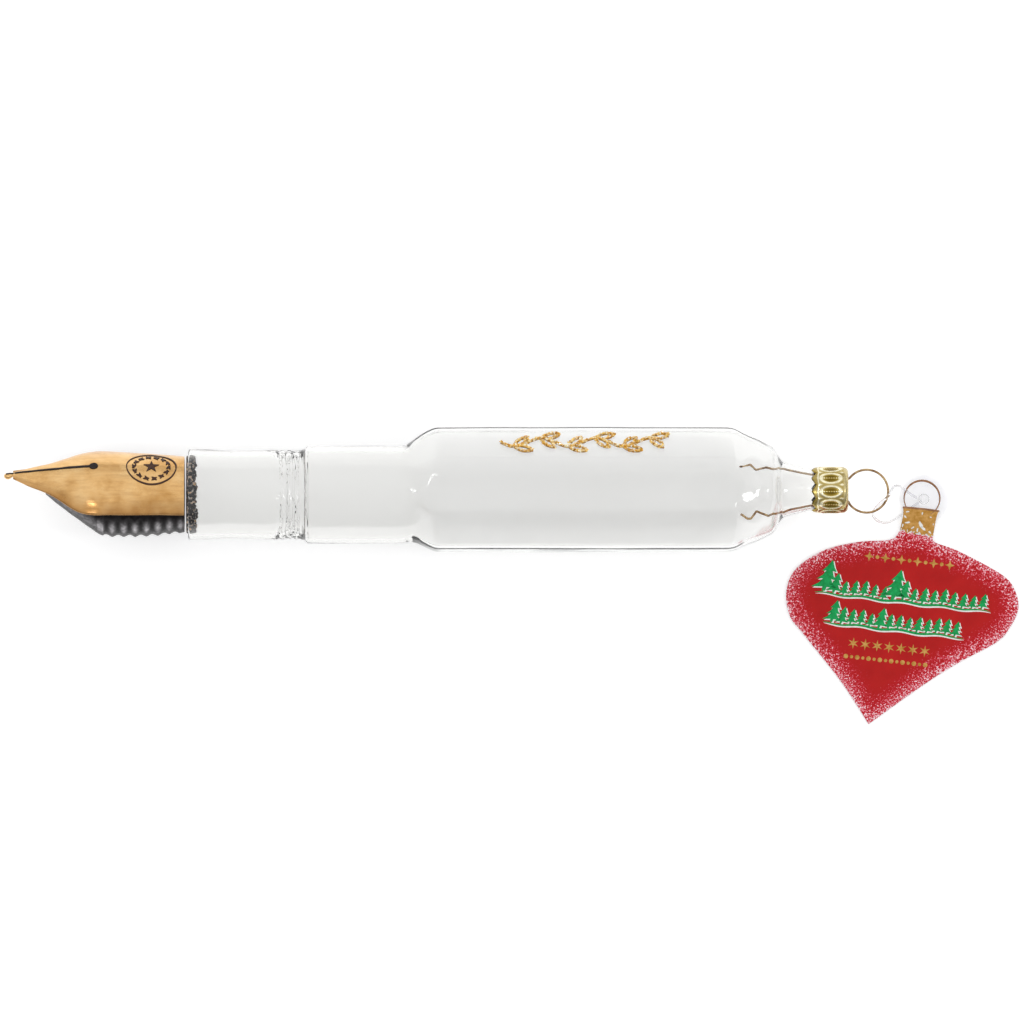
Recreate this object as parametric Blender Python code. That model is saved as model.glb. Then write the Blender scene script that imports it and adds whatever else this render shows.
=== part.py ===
"""Blown-glass tree ornament in the shape of a pocket fountain pen, lying on a table.

+X runs along the pen from the nib to the hanger, +Z is up, and the origin is the middle of the
barrel's bottom facet.  Sizes below are millimetres; every mesh is written in metres.
"""

import math

import bmesh
import bpy
from mathutils import Vector

MM = 0.001

# --- glass body ---------------------------------------------------------------------------------
BARREL_FLATS = 21.35          # octagonal barrel, across the flats
BARREL_LENGTH = 50.1          # length of its facets, with the origin at their middle
SHOULDER_LENGTH = 9.3
NECK_LENGTH = 11.55           # the flare out of the shoulder included
NECK_RADIUS = 3.45
CONE_LENGTH = 5.45            # from the section to the barrel's facets
SECTION_LENGTH = 18.4         # plain round stretch between the grip and the cone
SECTION_RADIUS = 8.575
GRIP_LENGTH = 20.1
GRIP_RADIUS = 7.96
WAIST_RADIUS = 7.7
WAIST_FROM_MOUTH = 7.7
FRONT_AXIS_Y = -0.79          # the blown section sits a little to one side of the barrel
GLASS_WALL = 0.8
NECK_WALL = 0.35
GROOVE_COUNT = 4
GROOVE_PITCH = 1.2
GROOVE_DEPTH = 0.3
GROOVE_HALF = 0.38
RING_POINTS = 32

# --- nib, feed and trim --------------------------------------------------------------------------
PEN_ROLL = math.radians(40.2)  # the slit faces this far round from straight up, towards +Y
NIB_LENGTH = 29.95
NIB_OVERHANG = 0.4            # half its width beyond the mouth's bore
NIB_CREST_DROP = 0.11         # its highest crest below the bore
NIB_WALL = 0.45
NIB_FEED_GAP = 0.12
BEAD_RADIUS = 0.7
TIP_GAP = 0.1                 # between the nib's front end and its bead
BEAD_DROP = 0.67              # the bead's middle below the crest's end
BOND_WIDTH = 2.3
BOND_WALL = 1.0
FIT_GAP = 0.2                 # between pieces that are bonded or pushed together
NIB_STANDOFF = 0.65           # from the nib's back edge to the mouth
FEED_OVERHANG = 0.28          # its radius beyond the mouth's bore
RIB_COUNT = 7
RIB_PITCH = 2.0
RIB_DEPTH = 0.32
FEED_WALL = 0.7
FEED_POINTS = 28
TRIM_LIFT = 0.05              # air under paint and enamel laid on a surface
TRIM_THICKNESS = 0.12
SLIT_WIDTH = 0.36
BREATHER_FROM_REAR = 15.85    # along the nib from its back edge
BREATHER_RADIUS = 0.75
EMBLEM_FROM_REAR = 5.75
EMBLEM_HALF_LENGTH = 4.5
EMBLEM_HALF_WIDTH = 3.7
EMBLEM_LINE = 0.35
GLITTER_HALF_LENGTH = 14.3
GLITTER_RADIUS = 0.28
GLITTER_WAVE = 1.15
GLITTER_WAVES = 3

# --- cap and hanger ------------------------------------------------------------------------------
CAP_WALL = 0.25
CAP_FIT = 0.29                # between the neck and the cap's inside
CAP_END_GAP = 0.35            # between the neck's end and the cap's
CAP_LENGTH = 6.2
CAP_CORNER = 0.9
CAP_TABS = 10
TAB_DEPTH = 0.8
WIRE_RADIUS = 0.2
WIRE_HOLE_Y = 1.93
WIRE_HOLE_RADIUS = 0.42
RING_RADIUS = 3.76
RING_Y = -0.2
LEG_CLEARANCE = 0.3
LEG_LEAN = 0.27               # the legs pass one above the other when they are squeezed

# --- nylon loop and tag --------------------------------------------------------------------------
NYLON_RADIUS = 0.225
FILM = 0.4
TAG_TURN = math.radians(13.0)
TAG_TILT = math.radians(0.95)
HOLE_FROM_RING = (10.15, -0.63)
HOLE_Z = 0.88
HOLE_RADIUS = 1.05
TAB_RADIUS = 4.3
LOCK_RADIUS = 0.95
LOCK_HEIGHT = 0.8

# --- places that follow from the sizes -----------------------------------------------------------
AXIS_Z = BARREL_FLATS / 2
BARREL_FRONT_X = -BARREL_LENGTH / 2
BARREL_REAR_X = BARREL_LENGTH / 2
NECK_START_X = BARREL_REAR_X + SHOULDER_LENGTH
NECK_END_X = NECK_START_X + NECK_LENGTH
CONE_X = BARREL_FRONT_X - CONE_LENGTH
GRIP_STEP_X = CONE_X - SECTION_LENGTH
MOUTH_X = GRIP_STEP_X - GRIP_LENGTH
MOUTH_BORE = GRIP_RADIUS - GLASS_WALL
NIB_REAR_X = MOUTH_X - NIB_STANDOFF
NIB_FRONT_X = NIB_REAR_X - NIB_LENGTH
NIB_HALF_WIDTH = MOUTH_BORE + NIB_OVERHANG
NIB_CREST = MOUTH_BORE - NIB_CREST_DROP
FEED_RADIUS = MOUTH_BORE + FEED_OVERHANG
BEAD_X = NIB_FRONT_X - TIP_GAP - BEAD_RADIUS
BREATHER_X = NIB_REAR_X - BREATHER_FROM_REAR
EMBLEM_X = NIB_REAR_X - EMBLEM_FROM_REAR
CAP_RADIUS = NECK_RADIUS + CAP_FIT + CAP_WALL
CAP_END_X = NECK_END_X + CAP_END_GAP + CAP_WALL
RING_X = CAP_END_X + math.sqrt(RING_RADIUS**2 - WIRE_HOLE_Y**2)
PIVOT_X = CAP_END_X - CAP_WALL - 0.65
HOLE_X = RING_X + HOLE_FROM_RING[0]
HOLE_Y = RING_Y + HOLE_FROM_RING[1]


def clear_scene():
    for thing in list(bpy.data.objects):
        bpy.data.objects.remove(thing, do_unlink=True)


def material(name, colour, roughness, metallic=0.0, transmission=0.0):
    made = bpy.data.materials.get(name) or bpy.data.materials.new(name)
    made.use_nodes = True
    shader = made.node_tree.nodes["Principled BSDF"]
    shader.inputs["Base Color"].default_value = (*colour, 1.0)
    shader.inputs["Roughness"].default_value = roughness
    shader.inputs["Metallic"].default_value = metallic
    shader.inputs["Transmission Weight"].default_value = transmission
    return made


def add_object(name, points, faces, finish, origin=(0, 0, 0)):
    """One closed mesh object; points and origin in millimetres, faces turned outwards."""
    start = Vector(origin)
    mesh = bpy.data.meshes.new(name)
    mesh.from_pydata([(Vector(p) - start) * MM for p in points], [], faces)
    shell = bmesh.new()
    shell.from_mesh(mesh)
    bmesh.ops.recalc_face_normals(shell, faces=shell.faces)
    shell.to_mesh(mesh)
    shell.free()
    mesh.shade_smooth()
    mesh.set_sharp_from_angle(angle=math.radians(35))
    mesh.materials.append(finish)
    made = bpy.data.objects.new(name, mesh)
    made.location = start * MM
    bpy.context.collection.objects.link(made)
    return made


def loft(rings, cyclic=False):
    """Points and faces of rings joined in order; a cyclic loft closes on itself like a tyre."""
    count = len(rings[0])
    points = [p for ring in rings for p in ring]
    faces = []
    last = len(rings) if cyclic else len(rings) - 1
    for i in range(last):
        a, b = i * count, ((i + 1) % len(rings)) * count
        for j in range(count):
            k = (j + 1) % count
            faces.append((a + j, a + k, b + k, b + j))
    if not cyclic:
        faces.append(tuple(range(count)))
        faces.append(tuple(range((len(rings) - 1) * count, len(rings) * count)))
    return points, faces


def join(parts):
    """Several separate solids as one list of points and faces."""
    points, faces = [], []
    for some_points, some_faces in parts:
        base = len(points)
        points += some_points
        faces += [tuple(base + i for i in face) for face in some_faces]
    return points, faces


def smooth(rows, x):
    """Catmull-Rom reading of rows (x, value, ...) at x; past either end it holds the end row."""
    if x <= rows[0][0]:
        return rows[0][1:]
    if x >= rows[-1][0]:
        return rows[-1][1:]
    i = max(n for n in range(len(rows) - 1) if rows[n][0] <= x)
    r0, r1 = rows[max(i - 1, 0)], rows[i]
    r2, r3 = rows[i + 1], rows[min(i + 2, len(rows) - 1)]
    span = r2[0] - r1[0]
    t = (x - r1[0]) / span
    values = []
    for c in range(1, len(r1)):
        slope1 = (r2[c] - r0[c]) / (r2[0] - r0[0]) * span
        slope2 = (r3[c] - r1[c]) / (r3[0] - r1[0]) * span
        values.append(r1[c] * (2 * t**3 - 3 * t**2 + 1) + slope1 * (t**3 - 2 * t**2 + t)
                      + r2[c] * (3 * t**2 - 2 * t**3) + slope2 * (t**3 - t**2))
    return values


def smooth_path(route, step):
    """Points about a step apart along a smooth curve through the route's own points."""
    knots = [Vector(p) for p in route]
    dense = []
    for i in range(len(knots) - 1):
        p0, p1 = knots[max(i - 1, 0)], knots[i]
        p2, p3 = knots[i + 1], knots[min(i + 2, len(knots) - 1)]
        for n in range(20):
            t = n / 20
            dense.append(0.5 * (2 * p1 + (p2 - p0) * t + (2 * p0 - 5 * p1 + 4 * p2 - p3) * t**2
                                + (3 * p1 - p0 - 3 * p2 + p3) * t**3))
    dense.append(knots[-1])
    total = sum((b - a).length for a, b in zip(dense, dense[1:]))
    count = max(2, round(total / step))
    spacing, walked, path = total / count, 0.0, [dense[0]]
    for a, b in zip(dense, dense[1:]):
        walked += (b - a).length
        if walked >= spacing * len(path) - 1e-6 and len(path) < count:
            path.append(b)
    path.append(dense[-1])
    return path


def sweep(path, radius, sides, up):
    """A wire of round section along a path, mitred at its bends; up is the path's own normal."""
    path, up = [Vector(p) for p in path], Vector(up)
    rings = []
    for i, point in enumerate(path):
        before = (point - path[i - 1]).normalized() if i else None
        after = (path[i + 1] - point).normalized() if i + 1 < len(path) else None
        before, after = before or after, after or before
        along = (before + after).normalized()
        side = up.cross(along).normalized() / max(0.5, along.dot(after))
        rings.append([point + radius * (side * math.cos(a) + up * math.sin(a))
                      for a in (2 * math.pi * k / sides for k in range(sides))])
    return loft(rings)


def combine(target, tool, operation="DIFFERENCE"):
    """Cut away or add a tool shape, which stays as a hidden guide."""
    tool.hide_render = True
    tool.display_type = "WIRE"
    change = target.modifiers.new(tool.name, "BOOLEAN")
    change.operation = operation
    change.solver = "EXACT"
    change.object = tool


def round_cutter(name, centre, axis, radius, length):
    bpy.ops.mesh.primitive_cylinder_add(vertices=20, radius=radius * MM, depth=length * MM)
    made = bpy.context.object
    made.name = name
    made.location = Vector(centre) * MM
    made.rotation_mode = "QUATERNION"
    made.rotation_quaternion = Vector(axis).to_track_quat("Z", "Y")
    return made


# --- glass body ---------------------------------------------------------------------------------

def glass_rows(with_grooves):
    """Outline of the glass from mouth to neck: x, radius or apothem, octagon share, axis y."""
    half = BARREL_FLATS / 2
    waist_x = MOUTH_X + WAIST_FROM_MOUTH
    rows = [
        (MOUTH_X, GRIP_RADIUS - 0.3, 0, FRONT_AXIS_Y),
        (MOUTH_X + 0.3, GRIP_RADIUS, 0, FRONT_AXIS_Y),
        (waist_x - 2.9, GRIP_RADIUS, 0, FRONT_AXIS_Y),
        (waist_x, WAIST_RADIUS, 0, FRONT_AXIS_Y),
        (waist_x + 4.2, WAIST_RADIUS + 0.17, 0, FRONT_AXIS_Y),
    ]
    if with_grooves:
        first = GRIP_STEP_X - GROOVE_PITCH * GROOVE_COUNT + 0.6
        for n in range(GROOVE_COUNT):
            x = first + n * GROOVE_PITCH
            rows += [(x - GROOVE_HALF, GRIP_RADIUS, 0, FRONT_AXIS_Y),
                     (x, GRIP_RADIUS - GROOVE_DEPTH, 0, FRONT_AXIS_Y),
                     (x + GROOVE_HALF, GRIP_RADIUS, 0, FRONT_AXIS_Y)]
    rows += [
        (GRIP_STEP_X + 0.1, GRIP_RADIUS, 0, FRONT_AXIS_Y),
        (GRIP_STEP_X + 0.7, SECTION_RADIUS - 0.08, 0, FRONT_AXIS_Y),
        (GRIP_STEP_X + 1.3, SECTION_RADIUS, 0, FRONT_AXIS_Y),
        (CONE_X - 1.2, SECTION_RADIUS, 0, FRONT_AXIS_Y),
        (CONE_X, SECTION_RADIUS + 0.1, 0, FRONT_AXIS_Y * 0.6),
        (CONE_X + 1.4, half - 1.38, 0.3, FRONT_AXIS_Y * 0.1),
        (CONE_X + 2.8, half - 0.69, 0.7, 0),
        (BARREL_FRONT_X - 1.0, half - 0.09, 0.95, 0),
        (BARREL_FRONT_X, half, 1, 0),
        (BARREL_REAR_X, half, 1, 0),
    ]
    shoulder = [(1.6, 0.17, 0.85), (3.0, 0.78, 0.6), (4.4, 1.32, 0.4), (5.8, 1.84, 0.2),
                (7.2, 2.54, 0.08), (7.9, 2.88, 0.03), (8.6, 3.58, 0)]
    rows += [(BARREL_REAR_X + back, half - drop, share, 0) for back, drop, share in shoulder]
    neck = [(0.0, 2.45), (0.7, 1.5), (2.1, 0.95), (4.1, 0.45), (6.3, 0), (NECK_LENGTH, 0)]
    rows += [(NECK_START_X + back, NECK_RADIUS + extra, 0, 0) for back, extra in neck]
    return rows


def inner_rows():
    """The same outline moved inwards by the wall, which thins towards the neck."""
    outer = glass_rows(with_grooves=False)
    rows = []
    for i, (x, radius, share, axis_y) in enumerate(outer):
        before, after = outer[max(i - 1, 0)], outer[min(i + 1, len(outer) - 1)]
        slope = Vector((after[0] - before[0], after[1] - before[1])).normalized()
        thin = min(1.0, max(0.0, (x - BARREL_REAR_X) / SHOULDER_LENGTH))
        wall = GLASS_WALL + (NECK_WALL - GLASS_WALL) * thin
        end = i in (0, len(outer) - 1)
        rows.append((x if end else x + wall * slope.y,
                     radius - wall * (1 if end else slope.x), share, axis_y))
    rows[0] = (MOUTH_X, MOUTH_BORE, 0, FRONT_AXIS_Y)
    return rows


def glass_ring(x, apothem, share, axis_y):
    """One ring of the glass; share blends it from a circle (0) to an octagon (1)."""
    ring = []
    for n in range(RING_POINTS):
        angle = 2 * math.pi * n / RING_POINTS
        eighth = math.pi / 4
        off_facet = (angle + eighth / 2) % eighth - eighth / 2
        radius = apothem * (1 + share * (1 / math.cos(off_facet) - 1))
        ring.append((x, axis_y + radius * math.sin(angle), AXIS_Z - radius * math.cos(angle)))
    return ring


def make_glass_body(finish):
    rings = [glass_ring(*row) for row in glass_rows(with_grooves=True)]
    rings += [glass_ring(*row) for row in reversed(inner_rows())]
    points, faces = loft(rings, cyclic=True)
    return add_object("glass_body", points, faces, finish)


# --- nib and feed, drawn in the rolled frame: h towards the slit's side, w across it --------------

NIB_ROWS = [  # shares: of the nib's length ahead of its back edge; of its half width; of its crest
    (1.0, 0.106, 0.688, 0.74),
    (0.903, 0.274, 0.596, 0.809),
    (0.773, 0.509, 0.526, 0.884),
    (0.633, 0.873, 0.39, 0.963),
    (0.559, 0.992, 0.383, 0.993),
    (0.436, 1.0, 0.384, 1.0),
    (0.229, 0.952, 0.326, 0.979),
    (0.0, 0.88, 0.248, 0.943),
]

FEED_ROWS = [  # shares: of the nib's length; of the feed's radius, and of it for the circle's height
    (0.81, 0.296, 0.423),
    (0.773, 0.397, 0.388),
    (0.703, 0.585, 0.341),
    (0.633, 0.759, 0.294),
    (0.563, 0.894, 0.2),
    (0.492, 0.988, 0.059),
    (0.422, 1.0, 0.0),
    (0.179, 0.981, 0.0),
    (0.072, 0.927, 0.0),
    (0.0, 0.927, 0.0),
]
FEED_FRONT_X = NIB_REAR_X - FEED_ROWS[0][0] * NIB_LENGTH
FEED_HOLLOW_X = NIB_REAR_X - 0.66 * NIB_LENGTH
RIBS_FRONT_X = NIB_REAR_X - 0.2 - RIB_PITCH * RIB_COUNT


def pen_point(x, h, w):
    sine, cosine = math.sin(PEN_ROLL), math.cos(PEN_ROLL)
    return (x, FRONT_AXIS_Y + h * sine + w * cosine, AXIS_Z + h * cosine - w * sine)


def nib_arc(x):
    """The nib's cross-section at x: height of the arc's centre, its radius, its half angle."""
    wide, low, high = smooth(NIB_ROWS[::-1], (NIB_REAR_X - x) / NIB_LENGTH)
    half_width, crest = wide * NIB_HALF_WIDTH, high * NIB_CREST
    rise = crest - low * NIB_CREST
    radius = (half_width**2 + rise**2) / (2 * rise)
    return crest - radius, radius, math.asin(min(1.0, half_width / radius))


def nib_surface(x, w, lift):
    """Point above the nib's upper face."""
    centre, radius, _ = nib_arc(x)
    angle = math.asin(w / radius)
    reach = radius + lift
    return pen_point(x, centre + reach * math.cos(angle), reach * math.sin(angle))


def stations(start, end, count):
    return [start + (end - start) * n / (count - 1) for n in range(count)]


def make_nib(finish):
    across = 12
    rings = []
    for x in stations(NIB_FRONT_X, NIB_REAR_X, 26):
        centre, radius, half = nib_arc(x)
        angles = [half * (2 * n / across - 1) for n in range(across + 1)]
        outer = [pen_point(x, centre + radius * math.cos(a), radius * math.sin(a)) for a in angles]
        reach = radius - NIB_WALL
        inner = [pen_point(x, centre + reach * math.cos(a), reach * math.sin(a)) for a in angles]
        rings.append(outer + inner[::-1])
    return add_object("nib", *loft(rings), finish)


def make_nib_point(finish):
    rows = 10
    height = NIB_ROWS[0][3] * NIB_CREST - BEAD_DROP
    centre = Vector(pen_point(BEAD_X, height, 0))
    rings = []
    for n in range(1, rows):
        polar = math.pi * n / rows
        rings.append([centre + BEAD_RADIUS * Vector((-math.cos(polar),
                                                     math.sin(polar) * math.cos(a),
                                                     math.sin(polar) * math.sin(a)))
                      for a in (2 * math.pi * k / 16 for k in range(16))])
    return add_object("nib_point", *loft(rings), finish)


def trim_section(x, half):
    """Flat strip section across the nib: up one side and back along the other."""
    spread = (-1, -0.5, 0, 0.5, 1)
    under = [nib_surface(x, half * s, TRIM_LIFT) for s in spread]
    over = [nib_surface(x, half * s, TRIM_LIFT + TRIM_THICKNESS) for s in spread]
    return under + over[::-1]


def make_slit_enamel(finish):
    """Painted slit from the bead to the breather dot."""
    joint = BREATHER_X - math.sqrt(BREATHER_RADIUS**2 - (SLIT_WIDTH / 2) ** 2)
    sections = [(x, SLIT_WIDTH / 2) for x in stations(NIB_FRONT_X + 0.3, joint, 14)]
    for n in range(1, 9):
        angle = math.pi * n / 9
        sections.append((BREATHER_X - BREATHER_RADIUS * math.cos(angle),
                         max(SLIT_WIDTH / 2, BREATHER_RADIUS * math.sin(angle))))
    return add_object("slit_enamel", *loft([trim_section(*s) for s in sections]), finish)


def make_nib_emblem(finish):
    """Oval line painted on the nib."""
    low, high = TRIM_LIFT, TRIM_LIFT + TRIM_THICKNESS
    rings = []
    for n in range(40):
        angle = 2 * math.pi * n / 40
        ring = []
        for shrink, lift in ((0, low), (0, high), (EMBLEM_LINE, high), (EMBLEM_LINE, low)):
            x = EMBLEM_X + (EMBLEM_HALF_LENGTH - shrink) * math.cos(angle)
            ring.append(nib_surface(x, (EMBLEM_HALF_WIDTH - shrink) * math.sin(angle), lift))
        rings.append(ring)
    return add_object("nib_emblem", *loft(rings, cyclic=True), finish)


def rib_cut(x):
    """How far the feed's under side is cut back at x by the grooves between its ribs."""
    along = (x - RIBS_FRONT_X) / RIB_PITCH
    if not 0 <= along <= RIB_COUNT:
        return 0.0
    return RIB_DEPTH if 0.08 < along % 1 < 0.5 else 0.0


def feed_section(x, inset):
    """The feed at x: its under-side circle, trimmed to stay below the nib."""
    share, lift = smooth(FEED_ROWS[::-1], (NIB_REAR_X - x) / NIB_LENGTH)
    circle, height = share * FEED_RADIUS, lift * FEED_RADIUS
    centre, radius, _ = nib_arc(x)
    roof = radius - NIB_WALL - NIB_FEED_GAP
    offset = height - centre
    section = []
    for n in range(FEED_POINTS):
        angle = 2 * math.pi * n / FEED_POINTS
        up, across = math.cos(angle), math.sin(angle)
        reach_roof = -offset * up + math.sqrt((offset * up) ** 2 - offset**2 + roof**2)
        ribbed = circle - (rib_cut(x) if up < 0.2 else 0.0)
        reach = min(ribbed if not inset else circle - RIB_DEPTH, reach_roof) - inset
        section.append(pen_point(x, height + reach * up, reach * across))
    return section


def feed_stations():
    """Close pairs of stations at each groove's walls, and plain ones ahead of the ribs."""
    places = stations(FEED_FRONT_X, RIBS_FRONT_X - 0.4, 9)
    for n in range(RIB_COUNT):
        for share in (0.07, 0.09, 0.49, 0.51):
            places.append(RIBS_FRONT_X + (n + share) * RIB_PITCH)
    return places + [NIB_REAR_X]


def make_feed(finish):
    """Black ribbed feed under the nib, hollow and open at its back end."""
    outer = [feed_section(x, 0) for x in feed_stations()]
    inner = [feed_section(x, FEED_WALL) for x in stations(NIB_REAR_X, FEED_HOLLOW_X, 8)]
    return add_object("feed", *loft(outer + inner), finish)


def make_mouth_ring(finish):
    """Dark bonding ring just inside the mouth, behind the nib and the feed."""
    outside = MOUTH_BORE - FIT_GAP
    front = NIB_REAR_X + FIT_GAP
    rings = [glass_ring(x, radius, 0, FRONT_AXIS_Y)
             for x, radius in ((front, outside), (front + BOND_WIDTH, outside),
                               (front + BOND_WIDTH, outside - BOND_WALL),
                               (front, outside - BOND_WALL))]
    return add_object("mouth_ring", *loft(rings, cyclic=True), finish)


# --- glitter on the barrel's upper slanting facet -------------------------------------------------

def facet_point(x, s, lift):
    """Point on the 45 degree facet that the slit's side faces; s runs across the facet."""
    out, slope = BARREL_FLATS / 2 + lift, math.sqrt(0.5)
    return (x, (out + s) * slope, AXIS_Z + (out - s) * slope)


def wave(x):
    return GLITTER_WAVE * math.sin(math.pi * GLITTER_WAVES * x / GLITTER_HALF_LENGTH)


def make_glitter_flourish(finish):
    """Wavy stem with a leaf on each side of every crest."""
    normal = (0, math.sqrt(0.5), math.sqrt(0.5))
    lift = GLITTER_RADIUS + TRIM_LIFT
    stem = [facet_point(x, wave(x), lift)
            for x in stations(-GLITTER_HALF_LENGTH, GLITTER_HALF_LENGTH, 49)]
    flourish = add_object("glitter_flourish", *sweep(stem, GLITTER_RADIUS, 6, normal), finish)
    leaf = [(0, 0), (0.9, 0.42), (1.7, 0.4), (2.6, 0), (1.7, -0.4), (0.9, -0.42)]
    leaves = []
    for n in range(2 * GLITTER_WAVES):
        x = GLITTER_HALF_LENGTH * ((n + 0.5) / GLITTER_WAVES - 1)
        side = 1 if wave(x) > 0 else -1
        for lean, away in ((0.6, side), (1.0, -side)):
            cosine, sine = math.cos(lean), away * math.sin(lean)
            outline = [(x + a * cosine - b * sine, wave(x) + a * sine + b * cosine)
                       for a, b in leaf]
            leaves.append(loft([[facet_point(px, ps, high) for px, ps in outline]
                                for high in (TRIM_LIFT + 0.06, TRIM_LIFT + 0.36)]))
    combine(flourish, add_object("glitter_leaves", *join(leaves), finish), "UNION")
    return flourish


# --- crown cap and spring-wire hanger -------------------------------------------------------------

def cap_ring(x, radius, tab_share):
    """Ring round the cap; tab_share pulls it forwards in scallops at the open edge."""
    ring = []
    for n in range(4 * CAP_TABS):
        angle = 2 * math.pi * n / (4 * CAP_TABS)
        lobe = (1.0, 0.55, 0.0, 0.55)[n % 4]
        ring.append((x - TAB_DEPTH * lobe * tab_share, radius * math.sin(angle),
                     AXIS_Z - radius * math.cos(angle)))
    return ring


def cap_outline(radius, end_x, corner):
    """Side, rounded corner and end face of the cap, from its open edge to near the middle."""
    open_x = CAP_END_X - CAP_LENGTH + TAB_DEPTH
    rows = [(open_x, radius, 1.0), (open_x + 0.9, radius, 0.0)]
    for degrees in (0, 30, 60, 90):
        turn = math.radians(degrees)
        rows.append((end_x - corner + corner * math.sin(turn),
                     radius - corner + corner * math.cos(turn), 0.0))
    return rows


def make_crown_cap(finish):
    outer = cap_outline(CAP_RADIUS, CAP_END_X, CAP_CORNER)
    inner = cap_outline(CAP_RADIUS - CAP_WALL, CAP_END_X - CAP_WALL, CAP_CORNER - CAP_WALL)
    rings = [cap_ring(*row) for row in reversed(inner)] + [cap_ring(*row) for row in outer]
    cap = add_object("crown_cap", *loft(rings), finish, origin=(CAP_END_X, 0, AXIS_Z))
    for name, side in (("wire_hole_left", 1), ("wire_hole_right", -1)):
        centre = (CAP_END_X - CAP_WALL / 2, side * WIRE_HOLE_Y, AXIS_Z)
        combine(cap, round_cutter(name, centre, (1, 0, 0), WIRE_HOLE_RADIUS, CAP_WALL + 1.0))
    return cap


def make_hanger_ring(finish):
    """Eye of the hanger wire, with both ends turned in through the cap's holes."""
    gap = math.asin(WIRE_HOLE_Y / RING_RADIUS)
    arc = []
    for angle in stations(math.pi - gap - 0.12, gap + 0.12 - math.pi, 41):
        arc.append((RING_X + RING_RADIUS * math.cos(angle),
                    RING_Y + RING_RADIUS * math.sin(angle), AXIS_Z))
    inside_x = PIVOT_X + WIRE_RADIUS + 0.25
    path = [(inside_x, WIRE_HOLE_Y, AXIS_Z), (CAP_END_X, WIRE_HOLE_Y, AXIS_Z)] + arc
    path += [(CAP_END_X, -WIRE_HOLE_Y, AXIS_Z), (inside_x, -WIRE_HOLE_Y, AXIS_Z)]
    return add_object("hanger_ring", *sweep(path, WIRE_RADIUS, 8, (0, 0, 1)), finish,
                      origin=(CAP_END_X, 0, AXIS_Z))


def leg_path(crimps):
    """Wire from the cap's hole down the neck, then the crimps that spread inside the glass."""
    bore = NECK_RADIUS - NECK_WALL - WIRE_RADIUS - LEG_CLEARANCE
    path = [(PIVOT_X, WIRE_HOLE_Y), (NECK_START_X + 6.2, bore), (NECK_START_X + 4.05, bore + 0.4),
            (NECK_START_X + 2.0, bore + 0.82)]
    return path + [(BARREL_REAR_X + back, bore + out) for back, out in crimps]


def make_spring_leg(name, side, crimps, finish):
    path = [(x, side * y, AXIS_Z + side * LEG_LEAN * min(1, (PIVOT_X - x) / 5))
            for x, y in leg_path(crimps)]
    return add_object(name, *sweep(path, WIRE_RADIUS, 8, (0, 0, 1)), finish,
                      origin=(PIVOT_X, side * WIRE_HOLE_Y, AXIS_Z))


LEFT_CRIMPS = [(9.3, 1.25), (8.4, 1.06), (6.9, 1.36), (5.2, 0.92), (4.2, 2.03), (2.45, 1.5)]
RIGHT_CRIMPS = [(9.9, 1.3), (8.5, 1.5), (7.4, 1.94), (5.3, 1.08), (4.3, 2.37), (3.7, 2.37),
                (2.5, 1.59)]


# --- nylon loop, its lock and the tag ---------------------------------------------------------------

LOOP_ROUTE = [  # from the lock over the hanger ring, down through its eye, and back under the tag
    (58.66, -0.65, 1.5), (57.6, 0.0, 1.5), (56.8, 0.6, 1.66), (56.1, 1.08, 2.45),
    (55.55, 1.28, 3.9), (55.1, 1.2, 5.6), (54.7, 0.98, 7.5), (54.4, 0.62, 9.1),
    (54.12, 0.1, 10.35), (53.85, -0.64, 11.02), (53.35, -1.25, 11.22), (52.77, -1.77, 11.12),
    (52.26, -2.2, 10.85), (51.77, -2.67, 10.5), (51.3, -3.15, 10.22), (50.95, -3.68, 10.06),
    (50.86, -4.25, 9.75), (51.15, -4.8, 8.9), (51.85, -5.2, 7.4), (52.75, -5.3, 5.6),
    (53.7, -5.05, 3.8), (54.6, -4.5, 2.1), (55.35, -3.97, 0.9), (56.15, -3.4, 0.4),
    (57.2, -2.6, 0.28), (58.2, -1.88, 0.27), (58.9, -1.4, 0.33), (59.5, -1.02, 0.66),
]
LOOP_HANG = (53.34, -1.24, AXIS_Z)  # the wire's middle where the loop goes over it


def make_tag_loop(finish):
    """Nylon thread, read from a smooth curve through the route's points."""
    start = Vector(LOOP_HANG)
    path = smooth_path(LOOP_ROUTE, 5 * NYLON_RADIUS)
    curve = bpy.data.curves.new("tag_loop", "CURVE")
    curve.dimensions = "3D"
    curve.bevel_depth = NYLON_RADIUS * MM
    curve.bevel_resolution = 2
    curve.use_fill_caps = True
    spline = curve.splines.new("POLY")
    spline.points.add(len(path) - 1)
    for knot, point in zip(spline.points, path):
        knot.co = (*((point - start) * MM), 1.0)
    curve.materials.append(finish)
    made = bpy.data.objects.new("tag_loop", curve)
    made.location = start * MM
    bpy.context.collection.objects.link(made)
    return made


def tag_point(along, across, high):
    """Tag frame to the pen's: along towards the tip, across to the right, high above mid-film."""
    flat_along = along * math.cos(TAG_TILT) + high * math.sin(TAG_TILT)
    z = HOLE_Z - along * math.sin(TAG_TILT) + high * math.cos(TAG_TILT)
    return (HOLE_X - flat_along * math.sin(TAG_TURN) + across * math.cos(TAG_TURN),
            HOLE_Y - flat_along * math.cos(TAG_TURN) - across * math.sin(TAG_TURN), z)


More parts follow.
